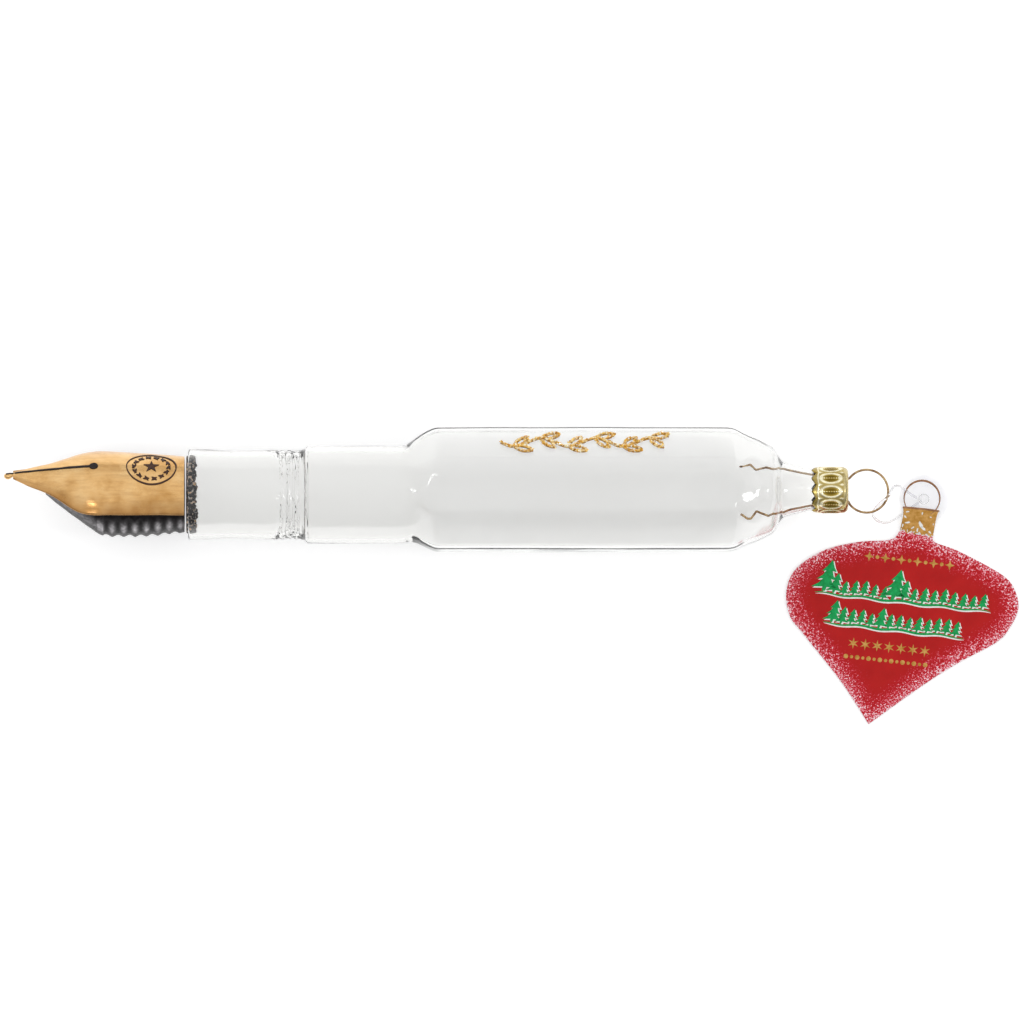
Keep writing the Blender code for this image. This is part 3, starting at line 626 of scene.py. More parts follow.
def glass_rows():
    """Plain outline of the glass from mouth to neck: x, radius or apothem, octagon share, axis."""
    half = BARREL_FLATS / 2
    waist_x = MOUTH_X + WAIST_FROM_MOUTH
    front = [(MOUTH_X, GRIP_RADIUS + 0.02), (waist_x - 4.6, GRIP_RADIUS - 0.02),
             (waist_x, WAIST_RADIUS), (waist_x + 4.2, WAIST_RADIUS + 0.15),
             (GRIP_STEP_X - 4.9, GRIP_RADIUS - 0.04), (GRIP_STEP_X + 0.1, GRIP_RADIUS),
             (GRIP_STEP_X + 0.7, SECTION_RADIUS - 0.08), (GRIP_STEP_X + 1.3, SECTION_RADIUS),
             (CONE_X - 1.2, SECTION_RADIUS)]
    cone = [(CONE_X, SECTION_RADIUS + 0.1, 0, FRONT_AXIS_Y * 0.6),
            (CONE_X + 1.4, half - 1.38, 0.3, FRONT_AXIS_Y * 0.1),
            (CONE_X + 2.8, half - 0.69, 0.7, 0), (BARREL_FRONT_X - 1.0, half - 0.09, 0.95, 0),
            (BARREL_FRONT_X, half, 1, 0), (BARREL_REAR_X, half, 1, 0)]
    shoulder = [(1.6, 0.17, 0.85), (3.0, 0.78, 0.6), (4.4, 1.32, 0.4), (5.8, 1.84, 0.2),
                (7.2, 2.54, 0.08), (7.9, 2.88, 0.03), (8.6, 3.58, 0)]
    neck = [(0.0, 2.45), (0.7, 1.5), (2.1, 0.95), (4.1, 0.45), (6.3, 0), (NECK_LENGTH, 0)]
    return ([(x, radius, 0, FRONT_AXIS_Y) for x, radius in front] + cone
            + [(BARREL_REAR_X + back, half - drop, share, 0) for back, drop, share in shoulder]
            + [(NECK_START_X + back, NECK_RADIUS + extra, 0, 0) for back, extra in neck])


def groove_depth(x, angle):
    """Depth of the hand-pressed grooves, and of the pebbling between them and the step."""
    depth = 0.0
    for n in range(GROOVE_COUNT):
        middle = GRIP_STEP_X - GROOVE_PITCH * (GROOVE_COUNT - n) + 0.6
        press = 0.75 + 0.45 * uneven_round(n * 3.1, 1.7, angle)
        press += 0.3 * uneven_round(n * 2.3, 7, angle)
        wander = 0.16 * uneven_round(n * 5.3 + 40, 1.3, angle)
        depth += GROOVE_DEPTH * press * bell(x - middle - wander, 0.27)
    pebbles = uneven_round(x * 1.7, 6, angle) + 0.35 * uneven_round(x * 4, 13, angle)
    return depth + 0.13 * bell(x - GRIP_STEP_X + 2.6, 2.6) * (pebbles + 0.3)


def soft_octagon(angle):
    """Reach of an octagon with eased corners, for an apothem of 1."""
    power = 64
    total = sum(abs(cos(angle - k * pi / 4)) ** power for k in range(4))
    return total ** (-1 / power)


def axis_point(x, axis_y, reach, angle):
    """Point about a level axis, its angle measured from straight down."""
    return (x, axis_y + reach * sin(angle), AXIS_Z - reach * cos(angle))


def glass_ring(x, radius, share, axis_y, grooved=False):
    ring = []
    for angle in turns(144):
        reach = radius * (1 + share * (soft_octagon(angle) - 1))
        reach += 0.05 * uneven(x * 0.13, 1.4 * sin(angle), 1.4 * cos(angle))
        if grooved and GRIP_STEP_X - 6.5 < x < GRIP_STEP_X + 0.6:
            reach -= groove_depth(x, angle)
        ring.append(axis_point(x, axis_y, reach, angle))
    return ring


def glass_stations():
    """Close together at the grooves, the step, the cone and the shoulder."""
    spans = [(MOUTH_X + 0.4, 0.7), (GRIP_STEP_X - 6.2, 0.1), (GRIP_STEP_X + 1.8, 1.0),
             (CONE_X - 1.6, 0.3), (BARREL_FRONT_X + 1.0, 1.6), (BARREL_REAR_X - 1.0, 0.25),
             (NECK_START_X + 5.0, 0.8), (NECK_END_X, 0)]
    places = []
    for (start, step), (end, _) in zip(spans, spans[1:]):
        places += stations(start, end, max(2, round((end - start) / step)) + 1)[:-1]
    return places + [NECK_END_X]


def make_glass(finish):
    """Blown shell: its wall thins over the cone and the shoulder, and its lip is rounded."""
    rows = glass_rows()
    outer, inner = [], []
    for x in glass_stations():
        radius, share, axis_y = smooth(rows, x)
        slope = clamp((smooth(rows, x + 0.2)[0] - smooth(rows, x - 0.2)[0]) / 0.4, -1.2, 1.2)
        thin = clamp((x - BARREL_REAR_X) / SHOULDER_LENGTH)
        blown = clamp((x - CONE_X) / CONE_LENGTH)
        wall = GLASS_WALL + (BLOWN_WALL - GLASS_WALL) * blown + (NECK_WALL - BLOWN_WALL) * thin
        wall *= sqrt(1 + slope**2)
        outer.append(glass_ring(x, radius, share, axis_y, True))
        inner.append(glass_ring(x, radius - wall, share, axis_y))
    middle, bulge = GRIP_RADIUS - GLASS_WALL / 2, GLASS_WALL / 2
    lip = [glass_ring(MOUTH_X + bulge - bulge * sin(turn), middle + 1.04 * bulge * cos(turn), 0,
                      FRONT_AXIS_Y) for turn in map(radians, (165, 140, 115, 90, 65, 40, 15))]
    shape = loft(lip + outer + inner[::-1], cyclic=True)
    piece("blown_glass", shape, finish, "glass", ["glass_body"], sharp=60)


# --- nib and feed, drawn in the rolled frame: h towards the slit's side, w across it ---

NIB_ROWS = [(0.0, 0.88, 0.248, 0.943), (0.229, 0.952, 0.326, 0.979), (0.436, 1.0, 0.384, 1.0),
            (0.559, 0.992, 0.383, 0.993), (0.633, 0.873, 0.39, 0.963), (0.773, 0.509, 0.526, 0.884),
            (0.903, 0.274, 0.596, 0.809), (1.0, 0.106, 0.688, 0.74)]
FEED_ROWS = [(0.0, 0.927, 0.0), (0.072, 0.927, 0.0), (0.179, 0.981, 0.0), (0.422, 1.0, 0.0),
             (0.492, 0.988, 0.059), (0.563, 0.894, 0.2), (0.633, 0.759, 0.294),
             (0.703, 0.585, 0.341), (0.773, 0.397, 0.388), (0.81, 0.296, 0.423)]
TIP_CREST = NIB_ROWS[-1][3] * NIB_CREST
NIB_ACROSS = 56
NIB_XS = stations(NIB_FRONT_X, NIB_REAR_X, 150)
RIBS_FRONT_X = NIB_REAR_X - 0.2 - RIB_PITCH * RIB_COUNT
RIB_CUT = 1.15 * RIB_DEPTH


def pen_point(x, h, w):
    sine, cosine = sin(PEN_ROLL), cos(PEN_ROLL)
    return (x, FRONT_AXIS_Y + h * sine + w * cosine, AXIS_Z + h * cosine - w * sine)


def nib_arc(x):
    """The nib's cross-section at x: height of the arc's centre, its radius, its half angle."""
    wide, low, high = smooth(NIB_ROWS, (NIB_REAR_X - x) / NIB_LENGTH)
    half_width, crest = wide * NIB_HALF_WIDTH, high * NIB_CREST
    rise = crest - low * NIB_CREST
    radius = (half_width**2 + rise**2) / (2 * rise)
    return crest - radius, radius, asin(min(1.0, half_width / radius))


def nib_swell(x, share):
    """Hand-blown unevenness, and the rolled lip along the nib's tapering edges."""
    front = clamp((BREATHER_X + 3 - x) / 6)
    roll = (0.1 + 0.03 * front) * bell(1 - abs(share), 0.07)
    roll -= 0.07 * bell(0.84 - abs(share), 0.075)
    pinch = -0.1 * front * bell(0.72 - abs(share), 0.13)
    return roll + pinch + 0.12 * uneven(x * 0.33, share * 2.2, 7.7)


def arc_point(x, centre, reach, angle):
    return pen_point(x, centre + reach * cos(angle), reach * sin(angle))


def nib_surface(x, w, lift):
    """Point above the nib's upper face."""
    centre, radius, half = nib_arc(x)
    angle = asin(clamp(w / radius, -1.0))
    return arc_point(x, centre, radius + lift + nib_swell(x, angle / half), angle)


def nib_ring(x):
    """Section of the nib: its upper face, an edge, its under face and the other edge."""
    centre, radius, half = nib_arc(x)
    thick = NIB_WALL * (0.75 if x < NIB_FRONT_X + 0.01 else 1.0)

    def edge(side):
        swell = nib_swell(x, side)
        middle, bulge = radius + (swell - thick) / 2, (thick + swell) / 2
        return [(middle + side * bulge * cos(turn), half * side + side * bulge * 0.8 * sin(turn) / radius)
                for turn in (pi * n / 5 for n in range(1, 5))]

    shares = stations(-1, 1, NIB_ACROSS + 1)
    upper = [(radius + nib_swell(x, share), half * share) for share in shares]
    under = [(radius - thick, half * share) for share in shares[::-1]]
    return [arc_point(x, centre, *polar) for polar in upper + edge(1) + under + edge(-1)]


def make_nib(finish):
    """Curved plate, with painted shade, a browner colour, towards its flanks and edges."""
    rings = [nib_ring(x) for x in NIB_XS]
    made = piece("gold_nib", loft(rings), finish, "glass", ["nib"])
    # painted shade strength, patchy at random, rising towards both edges of the nib
    flank = []
    for x in NIB_XS:
        for n in range(len(rings[0])):
            share = 2 * n / NIB_ACROSS - 1 if n <= NIB_ACROSS else 1.0
            patchy = 0.75 + 0.5 * uneven(x * 0.5, share * 3, 1.3)
            flank.append(0.85 * patchy * bell(1 - abs(share), 0.27))
    paint_values(made, "flank", flank)


def make_bead(finish):
    """Drop of glass at the tip, drawn out into a root where it leaves the nib."""
    reach, girth, root = 1.15 * BEAD_RADIUS, 0.84 * BEAD_RADIUS, 0.3
    rings = []
    for x in [-reach * cos(pi * n / 24) for n in range(1, 16)] + [0.5, 0.8, 1.1, 1.3]:
        width = max(girth * sqrt(max(0.0, 1 - (x / reach) ** 2)), root if x > 0 else 0.0)
        rise = 0.3 * clamp(x / reach)
        middle = Vector(pen_point(BEAD_X + x, TIP_CREST - BEAD_DROP + rise, 0))
        rings.append([middle + width * (1 + 0.06 * uneven_round(x * 3, 1, a))
                      * Vector((0, cos(a), sin(a))) for a in turns(28)])
    piece("tip_bead", loft(rings), finish, "glass", ["nib_point"])


def tip_surface(x, w, lift):
    """Point above the bead and the root that joins it to the nib."""
    back = (NIB_FRONT_X - x) / (2 * BEAD_RADIUS)
    return pen_point(x, TIP_CREST - 0.14 * back - 0.35 * w * w + lift, w)


def make_slit(finish):
    """Hand-painted slit, running from the bead into the breather dot."""
    path = [(x, 0.07 * uneven(x * 0.4, 3.0, 0)) for x in stations(NIB_FRONT_X + 0.3, BREATHER_X - 0.5, 70)]
    stroke = ribbon(path, lambda t: 0.15 + 0.09 * t + 0.05 * uneven(t * 9, 0, 5), nib_surface,
                    TRIM_LIFT, TRIM_LIFT + 0.09)
    drip = ribbon([(x, 0.0) for x in stations(BEAD_X - 0.42, NIB_FRONT_X + 0.7, 16)],
                  lambda t: 0.2 - 0.06 * t, tip_surface, -0.16, 0.05)
    dot = [(BREATHER_X + 1.08 * BREATHER_RADIUS * (1 + 0.07 * uneven(n, 2, 2)) * cos(a),
            0.94 * BREATHER_RADIUS * sin(a)) for n, a in enumerate(turns(30))]
    shape = join([stroke, drip, patch(dot, nib_surface, TRIM_LIFT, TRIM_LIFT + 0.12)])
    piece("painted_slit", shape, finish, "glass", ["slit_enamel"])


def make_emblem(finish):
    """Oval line with a leaf wreath and a small star inside, all brushed in brown."""
    heights = TRIM_LIFT, TRIM_LIFT + PAINT
    oval = []
    for n in range(97):
        angle = 2 * pi * n / 96
        shake = 1 + 0.012 * uneven(cos(angle) * 2, sin(angle) * 2, 9)
        oval.append((EMBLEM_X + 4.33 * shake * cos(angle), 3.53 * shake * sin(angle)))
    parts = [ribbon(oval, lambda t: 0.13 + 0.035 * sin(9 * t + 1), nib_surface, *heights)]
    shapes = []
    for n in range(14):
        angle = 2 * pi * (n + 0.5) / 14
        for bend, reach in ((2.1, 2.85), (1.05, 2.2)):
            shapes.append(leaf(EMBLEM_X + reach * 1.2 * cos(angle), reach * sin(angle),
                               angle + bend, 1.2, 0.42))
    shapes.append(star(EMBLEM_X, 0, 1.5, 5, 0.4, 0.3))
    parts += [patch(outline, nib_surface, *heights) for outline in shapes]
    piece("wreath_emblem", join(parts), finish, "glass", ["nib_emblem"])


def rib_cut(x):
    """How far the feed's under side is cut back at x between its rounded ribs."""
    along = (x - RIBS_FRONT_X) / RIB_PITCH
    if not 0 <= along <= RIB_COUNT:
        return 0.0
    return RIB_CUT * (0.5 + 0.5 * cos(2 * pi * (along - 0.29))) ** 0.8


def feed_section(x, wall):
    share, lift = smooth(FEED_ROWS, (NIB_REAR_X - x) / NIB_LENGTH)
    circle, height = share * FEED_RADIUS, lift * FEED_RADIUS
    centre, radius, _ = nib_arc(x)
    roof = radius - NIB_WALL - NIB_FEED_GAP
    offset = height - centre
    section = []
    for angle in turns(96):
        up, across = cos(angle), sin(angle)
        reach_roof = -offset * up + sqrt((offset * up) ** 2 - offset**2 + roof**2)
        reach = circle - RIB_DEPTH
        if not wall:
            lump = 0.05 * uneven_round(x * 0.8, 4, angle)
            reach = circle - rib_cut(x) * clamp((0.35 - up) / 0.3) + lump
        reach = min(reach, reach_roof) - wall
        section.append(pen_point(x, height + reach * up, reach * across))
    return section


def make_feed(finish):
    """Hollow ribbed feed, with painted grey highlights on its ribs along the side that shows."""
    places = stations(NIB_REAR_X - FEED_ROWS[-1][0] * NIB_LENGTH, NIB_REAR_X, 190)
    outer = [feed_section(x, 0) for x in places]
    inner = [feed_section(x, FEED_WALL) for x in stations(NIB_REAR_X, NIB_REAR_X - 0.66 * NIB_LENGTH, 20)]
    made = piece("ribbed_feed", loft(outer + inner), finish, "glass", ["feed"])
    rib_highlight = []
    for x in places:
        strength = 1.0 if RIBS_FRONT_X - 1 < x < NIB_REAR_X - 0.3 else 0.4
        crest = 1 - rib_cut(x) / RIB_CUT
        # painted highlight strength: rib crests in a band round 259 degrees, where the highlights fall in
        # the view
        rib_highlight += [crest**1.5 * bell(degrees(angle) - 259, 10) * strength for angle in turns(96)]
    paint_values(made, "rib_highlight", rib_highlight + [0.0] * (96 * len(inner)))


def make_bond(finish):
    """Dark ragged join just inside the mouth, behind the nib and the feed."""
    outside, front = MOUTH_BORE - FIT_GAP, NIB_REAR_X + FIT_GAP
    section = [[0.5 + 0.5 * copysign(abs(v) ** 0.6, v) for v in (cos(turn), sin(turn))]
               for turn in map(radians, range(0, 360, 18))]
    rings = []
    for angle in turns(260):
        across, down = sin(angle), cos(angle)
        ragged = uneven(3.2 * across, 3.2 * down, 1.1)
        fine = uneven(13 * across, 13 * down, 4.0)
        back = BOND_WIDTH * (0.84 + 0.3 * ragged + 0.16 * fine - 0.18 * abs(across))
        ring = []
        for s, t in section:
            pits = 0.1 * uneven(s * 5, 9 * across + t, 9 * down)
            reach = outside - BOND_WALL * (1 - t) * (0.8 + 0.2 * fine) - 0.1 - pits * (1 - t)
            ring.append(axis_point(front + back * s + 0.12 * (1 - s), FRONT_AXIS_Y, reach, angle))
        rings.append(ring)
    piece("dark_bond", loft(rings, cyclic=True), finish, "glass", ["mouth_ring"])


# --- glitter on the barrel's upper slanting facet ---

SLOPE = sqrt(0.5)
FACET_AXES = (Vector((1, 0, 0)), Vector((0, SLOPE, -SLOPE)), Vector((0, SLOPE, SLOPE)))
GLUE_HALF_WIDTH = 0.2
STEM_SHORT = 0.9                # how far the stem stops before the flourish does
GLUE_HEIGHT = 0.1
GRAINS_PER_MM = 60
GRAIN_SPREAD = 0.13
GRAIN_SIZES = (0.06, 0.19)


def facet_point(x, s, lift):
    """Point on the 45 degree facet that the slit's side faces; s runs across the facet."""
    out = BARREL_FLATS / 2 + lift
    return (x, (out + s) * SLOPE, AXIS_Z + (out - s) * SLOPE)


def wave(x):
    return GLITTER_WAVE * sin(pi * GLITTER_WAVES * x / GLITTER_HALF_LENGTH)


def glitter_strokes():
    """Wavy stem, with a pair of leaves at every crest."""
    stem = stations(-GLITTER_HALF_LENGTH, GLITTER_HALF_LENGTH - STEM_SHORT, 60)
    strokes = [[(x, wave(x)) for x in stem]]
    for n in range(2 * GLITTER_WAVES):
        x = GLITTER_HALF_LENGTH * ((n + 0.5) / GLITTER_WAVES - 1)
        side = 1 if wave(x) > 0 else -1
        for turn in (side * 0.32, -side * 0.85):
            outline = leaf(x, wave(x), turn, 3.3, 1.25)
            strokes.append(outline + outline[:1])
    return strokes


def glitter_grain(spread, u, v):
    """One flake lying about (u, v), tilted and turned by chance."""
    size = spread.uniform(*GRAIN_SIZES)
    centre = Vector(facet_point(u, v, TRIM_LIFT + GLUE_HEIGHT + spread.uniform(0.02, 0.34)))
    tilt = Vector((spread.gauss(0, 0.5), spread.gauss(0, 0.5), 1)).normalized()
    normal = sum((a * c for a, c in zip(FACET_AXES, tilt)), Vector())
    flat = normal.orthogonal().normalized()
    flat.rotate(Quaternion(normal, spread.uniform(0, 6.28)))
    other = normal.cross(flat)
    ring = [centre + size * (flat * cos(a) + other * sin(a)) for a in turns(spread.choice((4, 5, 6)))]
    thick = normal * size * 0.28
    return loft([[p - thick for p in ring], [p + thick for p in ring]])


def make_glitter(finish, glue):
    """Glue line with some thousands of flakes strewn on it."""
    spread = random.Random(11)
    strokes = glitter_strokes()
    beds = [ribbon(path, GLUE_HALF_WIDTH, facet_point, TRIM_LIFT, TRIM_LIFT + GLUE_HEIGHT)
            for path in strokes]
    piece("glitter_glue", join(beds), glue, "glass")
    grains, shades = [], []
    for path in strokes:
        for (u0, v0), (u1, v1) in zip(path, path[1:]):
            for _ in range(int(hypot(u1 - u0, v1 - v0) * GRAINS_PER_MM + spread.random())):
                t = spread.random()
                u = u0 + (u1 - u0) * t + spread.gauss(0, GRAIN_SPREAD)
                v = v0 + (v1 - v0) * t + spread.gauss(0, GRAIN_SPREAD)
                grains.append(glitter_grain(spread, u, v))
                # random tone of each flake; the highest values give the painted sparkle
                shades += [spread.random()] * len(grains[-1][0])
    made = piece("glitter_grains", join(grains), finish, "glass",
                 ["glitter_flourish"], sharp=20)
    paint_values(made, "grain", shades)


# --- crown cap and spring-wire hanger ---

OVAL_HALF_LENGTH = 2.0
OVAL_MIDDLE = 3.05
CAP_RELIEF = 0.11
CUTS_FROM = 4.6                 # how far back from the end face the cuts between tabs begin


def stamped(back, arc_share):
    """Stamped relief of the cap's side, -1 to 1: back from its end face, and round one tab."""
    a = (back - OVAL_MIDDLE) / OVAL_HALF_LENGTH
    b = arc_share * (2 * pi * CAP_RADIUS / CAP_TABS) / 1.08
    reach = hypot(a, b)
    rim = bell(reach - 0.88, 0.13)
    dish = -0.75 * exp(-((reach / 0.62) ** 4))
    beads = bell(b, 0.13) * (0.62 + 0.38 * cos(2 * pi * back / 0.42)) if abs(a) < 0.86 else 0.0
    gem = max(1 - (abs(a - end) / 0.34 + abs(abs(b) - 1.16) / 0.3) for end in (-0.98, 0.98))
    edge = 0.8 * bell(back - 5.35, 0.14)
    return clamp(rim + dish + 1.25 * beads + 0.9 * max(0.0, gem) + edge - 0.15, -1.0)


def cap_rings(skin, count=360):
    """Rings of one skin of the cap, outer (0) or inner (1), from its open edge to its middle."""
    rings, relief = [], []
    corner = CAP_CORNER - skin * CAP_WALL
    end_x = CAP_END_X - skin * CAP_WALL
    radius = CAP_RADIUS - skin * CAP_WALL
    rows = [(back, radius, "side") for back in stations(CAP_LENGTH, corner, 70)]
    for turn in map(radians, range(10, 91, 10)):
        rows.append((corner - corner * sin(turn), radius - corner + corner * cos(turn), "corner"))
    rows += [(0.0, r, "end") for r in stations(radius - corner - 0.15, 0.25, 22)]
    for back, reach, zone in rows:
        ring, levels = [], []
        for n, angle in enumerate(turns(count)):
            share = ((n / count - CAP_TURN) * CAP_TABS + 0.5) % 1 - 0.5
            x, out, height = end_x - back, reach, 0.0
            if zone == "side":
                height = stamped(back, share)
                point = 1 - abs(share) * 2
                pull = max(0.0, (back - CUTS_FROM) / (CAP_LENGTH - CUTS_FROM))
                x += TAB_DEPTH * (1 - point**0.8) * pull**2
                out += CAP_RELIEF * height
                out -= 0.12 * pull**3 * point
            elif zone == "end":
                height = 0.9 * cos(reach * 2 * pi / 1.15) * min(1, (2.9 - reach) / 0.5)
                x += 0.06 * height - 0.06
            if zone != "end":
                out += 0.03 * uneven(x * 1.1, 3 * sin(angle), 3 * cos(angle))
            ring.append(axis_point(x, 0, out, angle))
            # relief level, which the brass colours as painted shade and painted highlight
            levels.append(0.5 + 0.5 * height)
        rings.append(ring)
        relief.append(levels)
    return rings, relief


def make_cap(finish):
    """Stamped shell with its two wire holes drilled through the end."""
    outer, relief = cap_rings(0)
    inner, inner_relief = cap_rings(1)
    # painted shade: the inner skin's levels cut to about a third, so the inside of the cap is darker
    values = [0.35 * v for levels in inner_relief[::-1] for v in levels]
    values += [v for levels in relief for v in levels]
    made = piece("crown_cap_stamped", loft(inner[::-1] + outer), finish, "cap",
                 ["crown_cap"], sharp=70)
    paint_values(made, "relief", values)
    for side in (1, -1):
        bpy.ops.mesh.primitive_cylinder_add(vertices=32, radius=WIRE_HOLE_RADIUS * MM, depth=2.4 * MM)
        cutter = bpy.context.object
        cutter.matrix_world = Vector((1, 0, 0)).to_track_quat("Z", "Y").to_matrix().to_4x4()
        cutter.location = Vector((CAP_END_X, side * WIRE_HOLE_Y, AXIS_Z)) * MM
        change = made.modifiers.new("hole", "BOOLEAN")
        change.solver = "EXACT"
        change.object = cutter
        made.data = evaluated_mesh(made)
        made.modifiers.clear()
        bpy.data.objects.remove(cutter, do_unlink=True)


def make_wire_ring(finish):
    """Sprung eye of the hanger, with both ends turned in through the cap's holes."""
    gap = asin(WIRE_HOLE_Y / RING_RADIUS) + 0.12
    arc = [Vector((RING_X + RING_RADIUS * cos(angle), RING_Y + RING_RADIUS * sin(angle), AXIS_Z))
           for angle in stations(pi - gap, gap - pi, 90)]
    inside_x = PIVOT_X + WIRE_RADIUS + 0.25
    start = [(inside_x, WIRE_HOLE_Y, AXIS_Z), (CAP_END_X, WIRE_HOLE_Y, AXIS_Z), arc[0], arc[2]]
    end = [arc[-3], arc[-1], (CAP_END_X, -WIRE_HOLE_Y, AXIS_Z), (inside_x, -WIRE_HOLE_Y, AXIS_Z)]
    path = rounded(start, 3) + arc[3:-3] + rounded(end, 3)
    piece("hanger_eye", tube(path, WIRE_RADIUS, 16), finish, "cap", ["hanger_ring"])


LEFT_CRIMPS = [(9.3, 1.25), (8.4, 1.06), (6.9, 1.36), (5.2, 0.92), (4.2, 2.03), (2.45, 1.5)]
RIGHT_CRIMPS = [(9.9, 1.3), (8.5, 1.5), (7.4, 1.94), (5.3, 1.08), (4.3, 2.37), (3.7, 2.37), (2.5, 1.59)]


def make_leg(name, side, crimps, finish, body, node):
    """Springy leg down the neck, crimped where it spreads inside the glass."""
    bore = NECK_RADIUS - NECK_WALL - WIRE_RADIUS - LEG_CLEARANCE
    flat = [(PIVOT_X, WIRE_HOLE_Y), (NECK_START_X + 6.2, bore), (NECK_START_X + 4.05, bore + 0.4),
            (NECK_START_X + 2.0, bore + 0.82)]
    flat += [(BARREL_REAR_X + back, bore + out) for back, out in crimps]
    path = [Vector((x, side * y, AXIS_Z + side * LEG_LEAN * min(1, (PIVOT_X - x) / 5))) for x, y in flat]
    dense = [path[0]]
    for a, b in zip(path, path[1:]):
        room = min(0.4, 0.3 / max(0.31, (b - a).length))
        dense += [a.lerp(b, room), a.lerp(b, 1 - room), b]
    piece(name, tube(rounded(dense, 2), WIRE_RADIUS, 14), finish, body, [node])


# --- the tag ---

RIGHT_FLANK = [(3.3, 3.0), (5.8, 3.06), (6.9, 3.6), (7.5, 8.1), (9.8, 16.3), (12.0, 19.2),
               (15.0, 20.5), (18.2, 19.9), (21.5, 18.2), (26.6, 12.4), (32.2, 6.9)]
LEFT_FLANK = [(34.5, -7.0), (28.0, -15.1), (25.2, -18.4), (21.0, -19.95), (16.8, -19.1),
              (12.6, -15.05), (9.8, -9.4), (8.4, -4.6), (7.2, -3.2), (6.0, -2.95), (3.3, -3.0)]
TAG_TIP = (40.7, -0.6)
FILM_EDGE = 0.05
RED_TOP = [(5.95, -2.0), (6.35, -1.2), (5.9, -0.4), (6.3, 0.5), (5.85, 1.3), (6.2, 2.1)]
RED_MIDDLE = (17.5, 0.0)
RED_LEVELS = [1.0, 0.995, 0.985, 0.97, 0.95, 0.92, 0.88, 0.83, 0.77, 0.7, 0.6, 0.45, 0.3, 0.15, 0.04]
FADE_WIDTH = 4.4
CROWN_BODY = [(2.35, -3.18), (2.0, -1.6), (1.78, 0.0), (1.62, 1.6), (1.55, 2.98), (2.4, 2.86),
              (4.0, 2.9), (5.8, 3.0), (6.3, 2.5), (5.7, 1.9), (6.35, 1.2), (5.75, 0.5),
              (6.45, -0.2), (5.85, -0.9), (6.5, -1.6), (5.95, -2.2), (6.3, -2.85), (5.0, -2.88),
              (3.6, -2.9), (3.0, -3.0)]
CROWN_RIM = [(2.2, -3.3), (1.98, -2.0), (1.8, -0.6), (1.62, 0.8), (1.5, 2.2), (1.42, 3.12)]
CROWN_GLINTS = [(2.75, -2.3, 0.3), (2.5, 0.3, 0.26), (2.8, 1.9, 0.2), (3.7, -2.5, 0.3),
                (4.6, -1.9, 0.4), (5.3, -2.6, 0.3), (4.5, 0.5, 0.62), (5.0, 1.0, 0.5),
                (5.5, 0.1, 0.34), (5.4, 2.3, 0.34), (5.3, -0.8, 0.3), (3.9, 2.6, 0.18)]
# each row of firs: its ends, its place down the tag, and the heights of its tall trees
FIR_ROWS = ((-16.6, 13.0, 18.1, {0: 5.6, 1: 3.6, 7: 5.4, 8: 3.5}),
            (-14.6, 8.8, 23.2, {0: 4.0, 1: 3.1, 5: 3.7}))
FIR_PITCH = 1.72


def flanks(step):
    points = []
    for flank in (RIGHT_FLANK + [TAG_TIP], [TAG_TIP] + LEFT_FLANK):
        points += smooth_outline(flank, step)[:-1]
    return points + [LEFT_FLANK[-1]]


def tag_outline():
    """Round tab, then the bauble's flanks, as (along, across)."""
    start, end = atan2(-3.0, 3.3), atan2(3.0, 3.3) - 2 * pi
    tab = [(TAB_RADIUS * cos(a), TAB_RADIUS * sin(a)) for a in stations(start, end, 60)[1:-1]]
    return tab + flanks(0.6)


def make_film(finish):
    """Die-cut film with its hole, its edges very slightly rounded."""
    curve = bpy.data.curves.new("film", "CURVE")
    curve.dimensions = "2D"
    curve.fill_mode = "BOTH"
    curve.extrude = (FILM / 2 - FILM_EDGE) * MM
    curve.bevel_depth = FILM_EDGE * MM
    curve.bevel_resolution = 2
    curve.offset = -FILM_EDGE * MM
    for outline in (tag_outline(), disc(0, 0, HOLE_RADIUS, 48)):
        knots = [(across * MM, -along * MM, 0) for along, across in outline]
        poly_spline(curve, knots).use_cyclic_u = True
    guide = add_object("film", curve)
    shape = bmesh.new()
    shape.from_mesh(evaluated_mesh(guide))
    bpy.data.objects.remove(guide, do_unlink=True)
    bmesh.ops.remove_doubles(shape, verts=shape.verts, dist=0.002 * MM)
    shape.verts.index_update()
    points = [tag_point(-v.co.y / MM, v.co.x / MM, v.co.z / MM) for v in shape.verts]
    faces = [tuple(v.index for v in face.verts) for face in shape.faces]
    shape.free()
    piece("tag_clear_film", (points, faces), finish, "tag", ["tag_film"], sharp=50)


def edge_distance(point, outline):
    best = 1e9
    px, py = point
    for (ax, ay), (bx, by) in zip(outline, outline[1:] + outline[:1]):
        dx, dy = bx - ax, by - ay
        t = clamp(((px - ax) * dx + (py - ay) * dy) / (dx * dx + dy * dy + 1e-12))
        best = min(best, hypot(px - ax - t * dx, py - ay - t * dy))
    return best


def make_red_print(finish):
    """Red ink over the bauble: nested rings, each point knowing how near the cut edge it is."""
    outline = [p for p in flanks(0.8) if p[0] > 5.7] + RED_TOP
    flat = [inset(outline, RED_MIDDLE, level * 0.997) for level in RED_LEVELS]
    rings = [[tag_point(*p, INK_LOW) for p in flat[0]]]
    rings += [[tag_point(*p, INK_HIGH) for p in ring] for ring in flat]
    fade = [1.0] * len(outline)
    fade += [1 - min(1.0, edge_distance(p, outline) / FADE_WIDTH) for ring in flat for p in ring]
    made = piece("print_red", loft(rings), finish, "tag")
    paint_values(made, "fade", fade)


def print_point(u, v, high):
    """Printing frame: u along its lines, v towards the tip, from the tag's hole."""
    cosine, sine = cos(PRINT_TURN), sin(PRINT_TURN)
    return tag_point(v * cosine - u * sine, u * cosine + v * sine, high)


def over(level, point=print_point):
    """Place for the ink of a printing pass, each pass a little above the last."""
    return lambda u, v, high: point(u, v, high + PASS_STEP * level)


